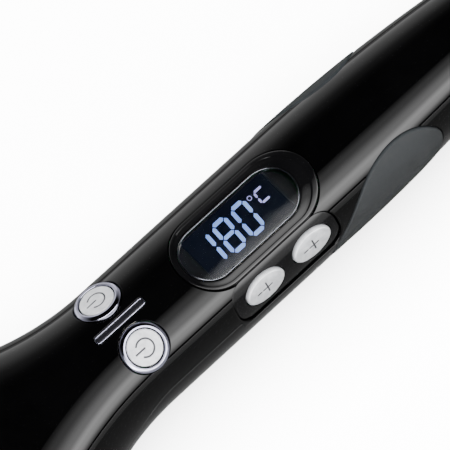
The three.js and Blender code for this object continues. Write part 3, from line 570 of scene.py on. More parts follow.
def glowing(name, low_colour, high_colour, strength, scale):
    """A lit surface: its emission drifts between two colours with a noise, over a dark satin base."""
    material, tree, shader, add = finish_of(name)
    link = tree.links.new
    place = add("ShaderNodeTexCoord")
    drift = add("ShaderNodeTexNoise", Scale=scale, Detail=3.0)
    link(place.outputs["Object"], drift.inputs["Vector"])
    tone = add("ShaderNodeValToRGB")
    ramped(tone, [(0.3, low_colour), (0.7, high_colour)])
    link(drift.outputs["Fac"], tone.inputs["Fac"])
    link(tone.outputs["Color"], shader.inputs["Emission Color"])
    link(tone.outputs["Color"], shader.inputs["Base Color"])
    shader.inputs["Emission Strength"].default_value = strength
    smear = add("ShaderNodeMapRange")
    smear.inputs["To Min"].default_value = 0.3
    smear.inputs["To Max"].default_value = 0.5
    link(drift.outputs["Fac"], smear.inputs["Value"])
    link(smear.outputs["Result"], shader.inputs["Roughness"])
    return material


def clear_plastic(name, tint, rough, transmission):
    """A clear or smoked window: mostly see-through, faintly smeared by a noise in its roughness."""
    material = speckled(name, tint, [c * 1.15 for c in tint], (rough, rough * 1.8), 60.0)
    shader = material.node_tree.nodes["Principled BSDF"]
    shader.inputs["Transmission Weight"].default_value = transmission
    shader.inputs["IOR"].default_value = 1.46
    return material


# each is a name, its darker and lighter colour, (least, most) roughness, noise per metre, and the rest
speckled("gloss_black", (0.0001, 0.0001, 0.00011), (0.0002, 0.0002, 0.00022), (0.022, 0.04), 45.0,
         specular=0.3, bump=6e-7, bump_scale=420.0, scratches=0.04)
speckled("bezel_black", (0.00025, 0.00025, 0.0003), (0.0005, 0.0005, 0.00055), (0.03, 0.05), 70.0,
         specular=0.35, bump=1e-6, bump_scale=500.0, scratches=0.05)
speckled("chamber_black", (0.0030, 0.0030, 0.0034), (0.0046, 0.0046, 0.0050), (0.42, 0.58), 120.0,
         bump=1.5e-5, bump_scale=2600.0)
speckled("barrel_ceramic", (0.0070, 0.0056, 0.0050), (0.0085, 0.0068, 0.0061), (0.2, 0.3), 80.0,
         bump=1.5e-6, bump_scale=3000.0, coat=0.3, scratches=0.04)
clear_plastic("window_clear", (0.82, 0.86, 0.95), 0.012, 1.0)
clear_plastic("smoked_lens", (0.0012, 0.0012, 0.0015), 0.05, 0.0)
speckled("chrome_ring", (0.54, 0.54, 0.70), (0.70, 0.70, 0.86), (0.08, 0.16), 300.0,
         metallic=1.0, scratches=0.05)
speckled("dark_chrome", (0.24, 0.25, 0.28), (0.32, 0.33, 0.37), (0.06, 0.12), 300.0,
         metallic=1.0, scratches=0.05)
silver = speckled("silver_button", (0.25, 0.254, 0.265), (0.33, 0.334, 0.345), (0.30, 0.40), 500.0,
                  metallic=0.75, bump=4e-6, bump_scale=9000.0)
marked(silver, (0.012, 0.012, 0.015))
speckled("slate_grip", (0.0022, 0.0026, 0.0029), (0.0031, 0.0036, 0.0040), (0.62, 0.8), 240.0,
         specular=0.35, bump=2.2e-5, bump_scale=5200.0)
speckled("white_plastic", (0.52, 0.50, 0.45), (0.62, 0.60, 0.54), (0.4, 0.55), 220.0, bump=6e-6)
speckled("circuit_green", (0.010, 0.055, 0.028), (0.020, 0.09, 0.045), (0.35, 0.55), 700.0,
         bump=1e-5, contrast=(0.45, 0.55))
speckled("component_black", (0.012, 0.012, 0.013), (0.022, 0.022, 0.023), (0.4, 0.6), 900.0, bump=8e-6)
speckled("component_red", (0.30, 0.035, 0.025), (0.42, 0.06, 0.04), (0.35, 0.5), 600.0, bump=5e-6)
speckled("zinc_steel", (0.42, 0.43, 0.45), (0.56, 0.57, 0.58), (0.22, 0.38), 500.0,
         metallic=1.0, bump=4e-6, scratches=0.1)
speckled("spreader_aluminium", (0.56, 0.57, 0.59), (0.68, 0.69, 0.70), (0.3, 0.45), 300.0,
         metallic=1.0, bump=4e-6, scratches=0.1)
glowing("screen", (0.0012, 0.002, 0.0055), (0.0018, 0.003, 0.0075), 1.0, 90.0)
glowing("digit_light", (0.24, 0.40, 0.92), (0.34, 0.52, 1.0), 0.85, 120.0)
glowing("unit_light", (0.46, 0.43, 0.86), (0.56, 0.52, 0.95), 0.8, 300.0)
FINISHES = {m.name: m for m in bpy.data.materials if not m.name.startswith("plain_")}


def settle(piece, body, slot, *nodes, material=None):
    """Gives a piece its finish, its body and the CAD nodes that it stands for."""
    piece.data.materials.clear()
    piece.data.materials.append(FINISHES[material or slot])
    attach(piece, body)
    if nodes:
        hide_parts(*nodes)


# ---------- covers ----------
def stations(start, end):
    """The x of the body's rings: every millimetre where the form bends, every 1.6 or 2 elsewhere."""
    straight_from = 32
    parts = [np.arange(TIP_X, straight_from, 1.0), np.arange(straight_from, TAPER_FROM, 2.0),
             np.arange(TAPER_FROM, HANDLE_LENGTH, 1.6)]
    lip = TIP_X + TIP_LIP * (1 - np.cos(np.linspace(0, math.pi / 2, 7)))
    step = PANEL_START_X + np.linspace(-0.4, 0.4, 5)
    places = np.concatenate(parts + [lip, step])
    places = np.unique(np.round(places, 4))
    places = places[(places > start + 0.35) & (places < end - 0.35)]
    keep = np.concatenate([[True], np.diff(places) > 0.05])
    return np.concatenate([[start], places[keep], [end]])


def band_line(x):
    """The lower parting line in radians: BAND_ANGLE on the handle, easing to 90 degrees along the neck."""
    share = np.clip(-x / BAND_TURN_LENGTH, 0, 1)
    return np.radians(BAND_ANGLE + (90 - BAND_ANGLE) * share * share * (3 - 2 * share))


def panel_line(x):
    """The right side's lower parting line: it steps down to PANEL_BAND_ANGLE where the panel starts."""
    step_length = 0.8
    share = np.clip((x - PANEL_START_X) / step_length + 0.5, 0, 1)
    step = share * share * (3 - 2 * share)
    return band_line(x) + (math.radians(PANEL_BAND_ANGLE) - band_line(x)) * step


def cover_line(x):
    """The upper parting line in radians."""
    return np.radians(COVER_ANGLE) + 0 * x


def wedge(start, end, from_angle, to_angle, columns, roll=0.32, back_roll=0.35):
    """All of the body between two lines, from the axis outwards, with rolled long edges.

    Each section runs from the axis up one radial wall, over a quarter-round edge, along the body between
    the two angles, and down the other wall; the angles are functions of x in radians."""
    wall_depth, past_roll = 8.0, 1.35
    x = stations(start, end)
    ends = np.concatenate([[0.0], back_roll * (1 - np.sqrt(1 - np.linspace(0.35, 1, 5) ** 2))])
    back = end - back_roll * (1 - np.linspace(0, 1, 6))
    x = np.concatenate([x[:-1][x[:-1] < back[0] - 0.1], back])
    sink = np.concatenate([np.zeros(len(x) - 6), ends])
    width = section(x)[0]
    first = from_angle(x) + GAP / 2 / width
    last = to_angle(x) - GAP / 2 / width
    rate = roll / width
    turn = np.linspace(0, math.pi / 2, 6)
    sides = [(0.0, -wall_depth), (0.0, -1.3 * roll)]
    sides += [(1 - math.cos(t), -roll * (1 - math.sin(t))) for t in turn]
    sides += [(past_roll, 0.0)]
    angles, offsets = [], []
    for share, height in sides:
        angles.append(first + share * rate)
        offsets.append(height - sink)
    for share in np.linspace(0, 1, columns)[1:-1]:
        angles.append(first + past_roll * rate + (last - first - 2 * past_roll * rate) * share)
        offsets.append(-sink)
    for share, height in sides[::-1]:
        angles.append(last - share * rate)
        offsets.append(height - sink)
    angles, offsets = np.stack(angles, 1), np.stack(offsets, 1)
    rings = on_body(x[:, None], angles, offsets)
    middle = on_body(x, (first + last) / 2) * [1, 0.02, 0.02]
    rings = np.concatenate([rings, middle[:, None]], 1)
    return closed_rings(rings)


def body_rings(start, end, offset, columns=96):
    """The whole body form between two x, moved by an offset, as a closed shell."""
    x = stations(start, end)
    turn = np.linspace(0, 2 * math.pi, columns, endpoint=False)
    return closed_rings(on_body(x[:, None], turn[None], offset))


def rod(x0, x1, radius, steps=160):
    """A plain round bar on the axis."""
    return closed_rings(lathe([[x0, radius], [x1, radius]], steps))


def upright(x, y, z0, z1, radius, steps=48):
    """A plain round bar standing along z."""
    turn = np.linspace(0, 2 * math.pi, steps, endpoint=False)
    ring = np.stack([x + radius * np.cos(turn), y + radius * np.sin(turn)], -1)
    rings = [np.column_stack([ring, np.full(steps, z)]) for z in (z0, z1)]
    return closed_rings(np.stack(rings))


def block(x0, x1, y0, y1, z0, z1):
    """A plain box."""
    ring = np.array([[y0, z0], [y1, z0], [y1, z1], [y0, z1]], float)
    rings = [np.column_stack([np.full(4, x), ring]) for x in (x0, x1)]
    return closed_rings(np.stack(rings))


def head_window(margin=0.0):
    """The opening in the head's top and bottom: straight sides that spread to the tip, a half-round base."""
    base, tip = WINDOW_BASE_HALF + margin, WINDOW_TIP_HALF + margin
    middle = CHAMBER_X - WINDOW_BASE_HALF
    turn = np.linspace(-math.pi / 2, math.pi / 2, 48)
    outline = np.concatenate(
        [[[TIP_X - 10, -tip]], np.stack([middle + base * np.cos(turn), base * np.sin(turn)], -1),
         [[TIP_X - 10, tip]]]
    )
    rings = [np.column_stack([outline, np.full(len(outline), z)]) for z in (-FAR, FAR)]
    return closed_rings(np.stack(rings))


bezel_outline = stadium(51.0, 24.4, 2.1)
window_outline = stadium(*WINDOW)
panel_outline = rounded_bar(40.6, 14.6, 6.0)
oval_outline = ellipse(*OVAL)
lens_outline = stadium(18.3, 1.6, arc=24, straight=30)
ring_outline = ellipse(2 * RING_RADIUS, 2 * RING_RADIUS)
pad_outlines = {1: leaf(1), -1: leaf(-1)}

cavity = body_rings(TIP_X + TIP_LIP, HANDLE_LENGTH + 5, -WALL)
chamber = rod(TIP_X - 10, CHAMBER_X, CHAMBER_RADIUS)
opening = head_window()
foot = block(TIP_X - 5, HANDLE_LENGTH, -FAR, FAR, -FAR, FOOT_Z)
bezel_hole = trumpet(DISPLAY_X, DISPLAY_ANGLE, bezel_outline, GAP, 0.35)
panel_hole = trumpet(PANEL_X, PANEL_ANGLE, panel_outline, GAP, 0.6)
lens_hole = trumpet(TURN_X, 0, lens_outline, 0.62, 0.3)
ring_holes = {s: trumpet(TURN_X, s * TURN_ANGLE, ring_outline, GAP, 0.3) for s in (1, -1)}
pad_holes = {
    s: trumpet(PAD_X, s * PAD_ANGLE, pad_outlines[s], GAP, 0.3, floor=-2.0) for s in (1, -1)
}
inside_cuts = [("DIFFERENCE", cavity), ("DIFFERENCE", chamber), ("DIFFERENCE", opening)]


def difference(*shells):
    """Boolean steps that take each shell away."""
    return [("DIFFERENCE", shell) for shell in shells]


def cover(name, shell, steps):
    """A shell piece of the body: its wedge, hollowed and cut, with the body's own shading."""
    piece = mesh_object(name, [shell])
    carve(piece, steps)
    polish(piece)
    settle(piece, "body", "gloss_black", name)


cover(
    "top_cover",
    wedge(TIP_X, HANDLE_LENGTH, lambda x: -cover_line(x), cover_line, 80),
    inside_cuts + difference(bezel_hole, panel_hole, lens_hole, ring_holes[1], ring_holes[-1], pad_holes[1],
                           pad_holes[-1]),
)


def under_body(x, y, radius):
    """The height just inside the wall over a round footprint: -H (1 - ((|y| + radius) / W)^p)^(1/p) + 1."""
    width, height, power = section(np.float64(x))
    return -height * (1 - ((abs(y) + radius) / width) ** power) ** (1 / power) + 1.0


BOSS_RADIUS, BOSS_TOP = 4.2, 1.2
HEAD_BORE, HEAD_BORE_TOP = 2.9, -10.0
THREAD_BORE, THREAD_TOP = 1.8, 2.0
screw_bosses = [
    ("UNION", upright(x, y, under_body(x, y, BOSS_RADIUS), BOSS_TOP, BOSS_RADIUS)) for x, y in SCREWS
]
screw_bores = [upright(x, y, -FAR, HEAD_BORE_TOP, HEAD_BORE) for x, y in SCREWS]
screw_bores += [upright(x, y, -FAR, THREAD_TOP, THREAD_BORE) for x, y in SCREWS]
cover(
    "bottom_cover",
    wedge(TIP_X, HANDLE_LENGTH, panel_line, lambda x: 2 * math.pi - band_line(x), 150),
    inside_cuts + difference(foot) + screw_bosses
    + difference(panel_hole, pad_holes[1], pad_holes[-1], *screw_bores),
)
cover(
    "side_band_left",
    wedge(TIP_X, HANDLE_LENGTH, lambda x: -band_line(x), lambda x: -cover_line(x), 26),
    inside_cuts + difference(ring_holes[-1], pad_holes[-1]),
)
cover(
    "side_band_right_front",
    wedge(TIP_X, PANEL_X - 10, cover_line, panel_line, 26),
    inside_cuts + difference(ring_holes[1], panel_hole),
)
cover(
    "side_band_right_rear",
    wedge(PANEL_X + 10, HANDLE_LENGTH, cover_line, panel_line, 30),
    difference(cavity, panel_hole, pad_holes[1]),
)

# ---------- display ----------
def bezel():
    """A ring between the bezel's and the window's outlines, given as [share of the way in, height over the
    body]: a rolled outer edge, a narrow flat rim, and a slope down to the window."""
    outer = drawn(bezel_outline)
    inner = drawn(window_outline, GAP)
    roll = 0.35
    turn = np.linspace(0, math.pi / 2, 6)
    across = [(0.0, -WALL), (0.0, -0.2)]
    across += [(0.09 * (1 - math.cos(t)), -0.02 + roll * math.sin(t)) for t in turn]
    across += [(0.11, 0.33), (0.3, 0.33), (0.325, 0.31), (0.35, 0.24), (0.37, 0.1), (0.39, 0.04)]
    across += [(0.42, 0.02)]
    across += [(0.6, 0.0), (0.8, -0.02), (0.9, -0.03), (0.93, -0.05), (0.96, -0.1), (0.985, -0.2)]
    across += [(1.0, -0.35), (1.0, -0.6), (1.0, -WALL)]
    rings = [lifted(DISPLAY_X, DISPLAY_ANGLE, outer * (1 - s) + inner * s, h) for s, h in across]
    return torus_rings(np.stack(rings))


piece = mesh_object("display_bezel", [bezel()], sharp=50)
carve(piece, difference(panel_hole))
smooth(piece.data, 35)
settle(piece, "body", "bezel_black", "display_bezel")

window_profile = np.concatenate([[[0, -1.3]], fillet(0.3, 5, -0.12)])
piece = mesh_object("display_window", [inset(DISPLAY_X, DISPLAY_ANGLE, window_outline, window_profile)])
settle(piece, "body", "window_clear", "display_window")
window_band = [(-0.2, -1.0), (-0.2, -0.1), (-0.16, -0.02), (-0.08, 0.03), (0.0, 0.03), (0.06, -0.02),
               (0.08, -0.1), (0.08, -1.0)]
piece = mesh_object("window_rim", [rim(DISPLAY_X, DISPLAY_ANGLE, window_outline, window_band)], sharp=60)
settle(piece, "body", "chrome_ring", material="dark_chrome")

def flat_plate(outline, x, angle, bottom, top, roll=0.2):
    """A plate of an outline that stands square to the radial direction at x and an angle."""
    rings = []
    for margin, height in [(-0.5, bottom), (0, bottom), (0, top - roll), (-0.3 * roll, top - 0.3 * roll),
                           (-roll, top), (-1.5 * roll, top)]:
        rings.append(squared(x, angle, drawn(outline, margin), height))
    return closed_rings(np.stack(rings))


module_outline = rounded_bar(MODULE_LENGTH, MODULE_WIDTH, 1.0)
piece = mesh_object("display_module",
                    [flat_plate(module_outline, DISPLAY_X, DISPLAY_ANGLE, MODULE_TOP - 3, MODULE_TOP - 0.12)])
settle(piece, "body", "screen", "display_module")
mask_outline = stadium(WINDOW[0] - 1.0, WINDOW[1] - 1.0)
mask = mesh_object("display_mask", [flat_plate(mask_outline, DISPLAY_X, DISPLAY_ANGLE, MODULE_TOP - 0.7,
                                               MODULE_TOP - 0.2, 0.1)])
room_outline = rounded_bar(MODULE_LENGTH + 0.2, MODULE_WIDTH + 0.2, 1.0)
module_room = flat_plate(room_outline, DISPLAY_X, DISPLAY_ANGLE, MODULE_TOP - 2, MODULE_TOP + 1, 0.01)
carve(mask, difference(module_room))
smooth(mask.data, 30)
settle(mask, "body", "component_black")


def bar(start, end, half, lean):
    """A thin six-sided bar between two places on the screen, its ends cut to points, leaning with height."""
    start, end = np.array(start, float), np.array(end, float)
    run = (end - start) / np.linalg.norm(end - start)
    side = np.array([-run[1], run[0]])
    flat = np.stack(
        [start, start + (run + side) * half, end + (side - run) * half, end, end - (run + side) * half,
         start + (run - side) * half]
    )
    flat[:, 0] += lean * flat[:, 1]
    heights = (MODULE_TOP - 0.11, MODULE_TOP - 0.03)
    return closed_rings(np.stack([squared(DISPLAY_X, DISPLAY_ANGLE, flat, height) for height in heights]))


SEGMENTS = {"1": "bc", "8": "abcdefg", "0": "abcdef", "C": "adef"}


def digit(sign, x, width, height, half, y=0.0, lean=0.06, slit=0.24):
    """The lit bars of a seven-bar digit whose middle is at x, y."""
    w, h, s = width / 2 - half, height / 2 - half, slit
    ends = {
        "a": ((-w + s, h), (w - s, h)), "b": ((w, h - s), (w, s)), "c": ((w, -s), (w, -h + s)),
        "d": ((-w + s, -h), (w - s, -h)), "e": ((-w, -s), (-w, -h + s)), "f": ((-w, h - s), (-w, s)),
        "g": ((-w + s, 0), (w - s, 0)),
    }
    lit = (ends[letter] for letter in SEGMENTS[sign])
    return [bar((a[0] + x, a[1] + y), (b[0] + x, b[1] + y), half, lean) for a, b in lit]


DIGIT_PLACES = {"1": -11.3, "8": -3.9, "0": 3.6}
shown = [part for sign, x in DIGIT_PLACES.items() for part in digit(sign, x, 5.9, 11.2, 0.64)]
piece = mesh_object("display_digits", shown)
settle(piece, "body", "screen", material="digit_light")
DEGREE_PLACE, DEGREE_RADIUS = np.array([8.2, 4.0]), 0.68
spot = np.linspace(0, 2 * math.pi, 13)
ring = DEGREE_PLACE + DEGREE_RADIUS * np.stack([np.cos(spot), np.sin(spot)], -1)
degree = [bar(start, end, 0.15, 0.0) for start, end in zip(ring[:-1], ring[1:])]
piece = mesh_object("display_unit", digit("C", 11.5, 3.9, 4.7, 0.36, y=2.35, slit=0.14) + degree)
settle(piece, "body", "screen", material="unit_light")


# ---------- the panel with the two oval buttons ----------
panel_profile = np.concatenate([[[0, -3.1]], fillet(0.3, 4, -PANEL_DEPTH)])
piece = mesh_object("button_panel", [inset(PANEL_X, PANEL_ANGLE, panel_outline, panel_profile)])
carve(piece, difference(*[trumpet(x, PANEL_ANGLE, oval_outline, 0.35, 0.25, surface=-PANEL_DEPTH)
                          for x in OVALS.values()]))
polish(piece, height=-PANEL_DEPTH)
settle(piece, "body", "bezel_black", "button_panel")


def sign_depth(flat, strokes, half):
    """How deep a sign is at flat places, 0 to 1: 1 within half of any stroke, a line or an open ring."""
    fade, nowhere = 0.12, 9.0
    deepest = np.zeros(flat.shape[:-1])
    for stroke in strokes:
        if stroke[0] == "line":
            start, end = np.array(stroke[1]), np.array(stroke[2])
            run = end - start
            share = np.clip(((flat - start) @ run) / (run @ run), 0, 1)
            away = np.linalg.norm(flat - (start + share[..., None] * run), axis=-1)
        else:
            radius, opening_way, opening_half = stroke[1:]
            angle = np.arctan2(flat[..., 1], flat[..., 0]) - opening_way
            angle = (angle + math.pi) % (2 * math.pi) - math.pi
            away = np.abs(np.linalg.norm(flat, axis=-1) - radius)
            away = np.where(np.abs(angle) < opening_half, nowhere, away)
        deepest = np.maximum(deepest, np.clip((half - away) / fade + 0.5, 0, 1))
    return deepest


def signed_cap(x, angle, outline, profile, strokes, half, rings=64, crown=0.0, depth=0.1):
    """A button's cap with an engraved sign, and the sign's strength at each of its points.

    Rings shrink to the middle, sunk by depth where the sign is, and the top rises by crown there."""
    profile = np.asarray(profile, float)
    layers, marks = [], []
    base = drawn(outline, profile[0, 0])
    for share in (0.02, 0.5):
        layers.append(lifted(x, angle, base * share, profile[0, 1]))
        marks.append(np.zeros(len(base)))
    for margin, height in profile:
        layers.append(lifted(x, angle, drawn(outline, margin), height))
        marks.append(np.zeros(len(base)))
    edge = drawn(outline, profile[-1, 0])
    for share in np.append(np.linspace(1, 0, rings + 1)[1:-1], 0.3 / rings):
        flat = edge * share
        deep = sign_depth(flat, strokes, half)
        layers.append(lifted(x, angle, flat, profile[-1, 1] + crown * (1 - share**2) - depth * deep))
        marks.append(deep)
    marks = np.concatenate(marks + [np.zeros(1), sign_depth(np.zeros((1, 2)), strokes, half)])
    return closed_rings(np.stack(layers)), marks


def write_marks(piece, marks):
    """Keeps the sign's strength at each vertex as the attribute that the finish reads."""
    attribute = piece.data.attributes.new("mark", "FLOAT", "POINT")
    attribute.data.foreach_set("value", np.asarray(marks, np.float32))


OVAL_STROKES = [("line", (2.0, 0.0), (-1.4, 0.0)), ("line", (0.3, 1.7), (0.3, -1.7)),
                ("line", (-3.5, 0.0), (-2.2, 0.0))]
for name, x in OVALS.items():
    profile = np.concatenate([[[0, -2.3]], fillet(0.75, 7, -0.1)])
    shell, marks = signed_cap(x, PANEL_ANGLE, ellipse(*OVAL, 220), profile, OVAL_STROKES, 0.26, rings=54,
                              crown=0.15, depth=0.12)
    piece = mesh_object(name, [shell])
    write_marks(piece, marks)
    settle(piece, name, "silver_button", name)


# ---------- turning-direction buttons and their rings ----------
def turned_at(profile, x, angle, steps=160):
    """A closed profile of [height, radius] turned round the radial direction at x and an angle."""
    profile = np.asarray(profile, float)
    up_way, out_way = ways_at(angle)
    spin = np.linspace(0, 2 * math.pi, steps, endpoint=False)
    circle = np.cos(spin)[:, None] * [1, 0, 0] + np.sin(spin)[:, None] * up_way
    rings = np.array([x, 0, 0]) + profile[:, 1, None, None] * circle + profile[:, 0, None, None] * out_way
    return torus_rings(rings)


def flat_cap(x, angle, radius, bottom, top, strokes, half, roll, crown, depth, rings=62, steps=240):
    """A round cap square to the radial direction, with a rolled edge, a low crown and an engraved sign."""
    spin = np.linspace(0, 2 * math.pi, steps, endpoint=False)
    circle = np.stack([np.cos(spin), np.sin(spin)], -1)
    quarter = np.linspace(0, math.pi / 2, 8)
    side = [(radius * 0.02, bottom), (radius, bottom), (radius, top - roll * 1.3)]
    side += [(radius - roll * (1 - math.cos(t)), top - roll * (1 - math.sin(t))) for t in quarter]
    edge = radius - roll * 1.25
    layers = [(circle * r, np.full(steps, h)) for r, h in side]
    marks = [np.zeros(steps)] * len(side)
    for share in np.append(np.linspace(1, 0, rings + 1)[:-1], 0.3 / rings):
        flat = circle * edge * share
        deep = sign_depth(flat, strokes, half)
        layers.append((flat, top + crown * (1 - share**2) - depth * deep))
        marks.append(deep)
    points = np.stack([squared(x, angle, flat, height[:, None]) for flat, height in layers])
    marks = marks + [np.zeros(1), sign_depth(np.zeros((1, 2)), strokes, half)]
    return closed_rings(points), np.concatenate(marks)


ring_low = RING_TOP - 3.6
ring_profile = rounded(
    [[ring_low, RING_HOLE], [ring_low, RING_RADIUS], [RING_TOP - 0.75, RING_RADIUS],
     [RING_TOP - 0.3, RING_RADIUS - 0.45], [RING_TOP, RING_RADIUS - 1.05],
     [RING_TOP - 0.05, RING_HOLE + 0.12], [RING_TOP - 0.3, RING_HOLE]],
    [0, 0, 0.3, 0.6, 0.5, 0.1, 0.1])
CAP_RADIUS = RING_HOLE - 0.35
POWER = [("ring", 2.75, math.pi, math.radians(40)), ("line", (-3.4, 0.0), (-0.2, 0.0))]
for side, word in ((-1, "left"), (1, "right")):
    piece = mesh_object("turn_ring_" + word, [turned_at(ring_profile, TURN_X, side * TURN_ANGLE)], sharp=50)
    settle(piece, "body", "chrome_ring", "turn_ring_" + word)
    shell, marks = flat_cap(TURN_X, side * TURN_ANGLE, CAP_RADIUS, RING_TOP - 2.1, RING_TOP - 0.05,
                            POWER, 0.26, roll=0.4, crown=0.15, depth=0.12)
    piece = mesh_object("turn_button_" + word, [shell])
    write_marks(piece, marks)
    settle(piece, "turn_button_" + word, "silver_button", "turn_button_" + word)

lens_profile = np.concatenate([[[0, -4.0]], fillet(0.3, 4, -0.1)])
piece = mesh_object("light_lens", [inset(TURN_X, 0, lens_outline, lens_profile, inner=8)])
settle(piece, "body", "smoked_lens", "light_lens")
lens_band = [(0.08, -1.0), (0.08, -0.12), (0.12, -0.03), (0.2, 0.03), (0.28, 0.03), (0.36, -0.03),
             (0.4, -0.12), (0.4, -1.0)]
piece = mesh_object("light_rim", [rim(TURN_X, 0, lens_outline, lens_band)], sharp=60)
settle(piece, "body", "chrome_ring")

# ---------- grip pads ----------
pad_profile = np.concatenate([[[0, -1.6]], fillet(0.45, 6, 0.3)])
for side, word in ((-1, "left"), (1, "right")):
    shell = inset(PAD_X, side * PAD_ANGLE, pad_outlines[side], pad_profile, inner=30)
    piece = mesh_object("grip_pad_" + word, [shell])
    settle(piece, "body", "slate_grip", "grip_pad_" + word)

# ---------- curling head ----------
for side, word in ((-1, "left"), (1, "right")):
    grown = mesh_object("chamber_liner_" + word, [rod(TIP_X - 10, CHAMBER_X, CHAMBER_RADIUS + LINER_WALL)])
    near_y, far_y = (GAP, FAR) if side < 0 else (-FAR, -GAP)
    half = block(TIP_X, CHAMBER_X, near_y, far_y, -FAR, FAR)
    carve(grown, [("UNION", head_window(LINER_WALL)),
                  ("INTERSECT", body_rings(TIP_X + TIP_LIP + GAP, 0, -WALL - GAP)), ("INTERSECT", half)]
          + difference(chamber, opening))
    smooth(grown.data, 32)
    settle(grown, "body", "chamber_black", "chamber_liner_" + word)

BARREL_FRONT = TIP_X + 5.3
DISK_BACK = CHAMBER_X - 0.6
DISK_FRONT = DISK_BACK - 3.0
BARREL_BACK = DISK_FRONT - 0.8
profile = rounded([[BARREL_FRONT, BARREL_BORE], [BARREL_FRONT, BARREL_RADIUS],
                   [BARREL_BACK, BARREL_RADIUS], [BARREL_BACK, BARREL_BORE]], [0.1, 0.4, 0.4, 0.1])
piece = mesh_object("barrel", [turned(profile, 144, hollow=True)])
settle(piece, "body", "barrel_ceramic", "barrel")

turn = np.linspace(0, math.pi / 2, 12)
NOSE, SPIGOT = 4.0, BARREL_BORE - GAP
nose = np.stack([TIP_X + NOSE * (1 - np.sin(turn)), BARREL_RADIUS - NOSE * (1 - np.cos(turn))], -1)[::-1]
dimple = [[TIP_X + 0.35, 0.05], [TIP_X + 0.35, 4.2], [TIP_X + 0.28, 4.5], [TIP_X + 0.05, 4.8], [TIP_X, 5.1]]
seat = [[BARREL_FRONT - 0.45, BARREL_RADIUS], [BARREL_FRONT - GAP, BARREL_RADIUS - 0.15],
        [BARREL_FRONT - GAP, SPIGOT], [BARREL_FRONT + 1.6, SPIGOT], [BARREL_FRONT + 1.6, 0.05]]
profile = np.concatenate([dimple, nose, seat])
piece = mesh_object("barrel_cap", [turned(profile, 144)])
settle(piece, "body", "chamber_black", "barrel_cap")


def finger():
    """The rotor's hair finger: an arc bar along the barrel whose inner side steps in to a hook at its end.

    Its section is a polar rectangle with rounded corners, and x runs along it; the bar stands on top."""
    half_angle = math.radians(13)
    front = DISK_FRONT - FINGER_LENGTH
    hook, stem = 19.0, 21.0
    tip = ((0, 1.2), (0.15, 0.6), (0.5, 0.2), (1.0, 0.0), (2.4, 0.0), (2.9, 0.2))
    rings = [(front + x, hook + sink, FINGER_OUTER - sink, half_angle - sink / 22) for x, sink in tip]
    bar_from = ((front + 3.2, stem - 0.8), (front + 3.7, stem - 0.1), (front + 4.4, stem),
                (DISK_FRONT + 0.5, stem))
    rings += [(x, inner_radius, FINGER_OUTER, half_angle) for x, inner_radius in bar_from]
    made = []
    for x, inner_radius, outer_radius, reach in rings:
        side = reach * (inner_radius + outer_radius) / 2
        corners = [[-side, inner_radius], [side, inner_radius], [side, outer_radius], [-side, outer_radius]]
        arcs = rounded(corners, [0.7] * 4, steps=5).reshape(4, 8, 2)
        share = np.linspace(0, 1, 9)[1:-1, None]
        sides = arcs[:, None, -1] * (1 - share) + np.roll(arcs, -1, 0)[:, None, 0] * share
        flat = np.concatenate([arcs, sides], 1).reshape(-1, 2)
        angle = flat[:, 0] / ((inner_radius + outer_radius) / 2)
        y, z = flat[:, 1] * np.sin(angle), flat[:, 1] * np.cos(angle)
        made.append(np.stack([np.full(len(flat), x), y, z], -1))
    return closed_rings(np.stack(made))


disk_profile = rounded(
    [[DISK_FRONT, HUB_BORE], [DISK_FRONT, ROTOR_RADIUS], [DISK_BACK, ROTOR_RADIUS],
     [DISK_BACK, HUB_RADIUS], [HUB_END_X, HUB_RADIUS], [HUB_END_X, HUB_BORE]],
    [0.2, 0.7, 0.3, 0.3, 0.3, 0.1])
piece = mesh_object("rotor", [turned(disk_profile, 160, hollow=True), finger()], sharp=50)
settle(piece, "rotor", "chamber_black", "rotor")

# ---------- tail ----------
CAP_FROM = HANDLE_LENGTH + GAP
CAP_END = CAP_FROM + 10
turn = np.linspace(0, math.pi / 2, 14)
ROUNDING, FACE_RADIUS, CORD_BORE = 8.0, 9.8, 5.6
shoulder_x = CAP_END - ROUNDING + ROUNDING * np.sin(turn)
shoulder = np.stack([shoulder_x, FACE_RADIUS + (TAIL_RADIUS - FACE_RADIUS) * np.cos(turn)], -1)
rim_end = [[CAP_FROM - 5, 8.1], [CAP_FROM - 5, 12.2], [CAP_FROM, 12.2], [CAP_FROM, TAIL_RADIUS - 0.25],
           [CAP_FROM + 0.08, TAIL_RADIUS - 0.08], [CAP_FROM + 0.25, TAIL_RADIUS]]
bore_end = [[CAP_END, 9.4], [CAP_END, CORD_BORE + 0.5], [CAP_END - 0.1, CORD_BORE + 0.15],
            [CAP_END - 0.4, CORD_BORE], [CAP_END - 3, CORD_BORE], [CAP_END - 3, 8.1]]
profile = np.concatenate([rim_end, shoulder, bore_end])
piece = mesh_object("tail_cap", [turned(profile, 144, hollow=True)], sharp=35)
settle(piece, "body", "gloss_black", "tail_cap")

flange = CAP_END - 3.2
profile = rounded(
    [[flange - 2.4, 3.3], [flange - 2.4, 7.9], [flange, 7.9], [flange, 5.4], [CAP_END + 0.2, 5.4],
     [CAP_END + 0.2, 6.8], [CAP_END + 3, 6.8], [CAP_END + 4, 5.5], [CAP_END + 7.2, 5.0],
     [CAP_END + 8, 4.2], [CAP_END + 8, 3.3]],
    [0, 0, 0, 0, 0, 0.4, 0.5, 0.4, 0.4, 0.2, 0.2])
piece = mesh_object("cord_swivel", [turned(profile, 96, hollow=True)], sharp=35)
settle(piece, "cord_swivel", "chamber_black", "cord_swivel")

# ---------- inner parts keep their CAD shape and take a worked finish ----------
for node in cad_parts.values():
    for place in node.material_slots:
        place.material = FINISHES[place.material.name.removeprefix("plain_").split(".")[0]]

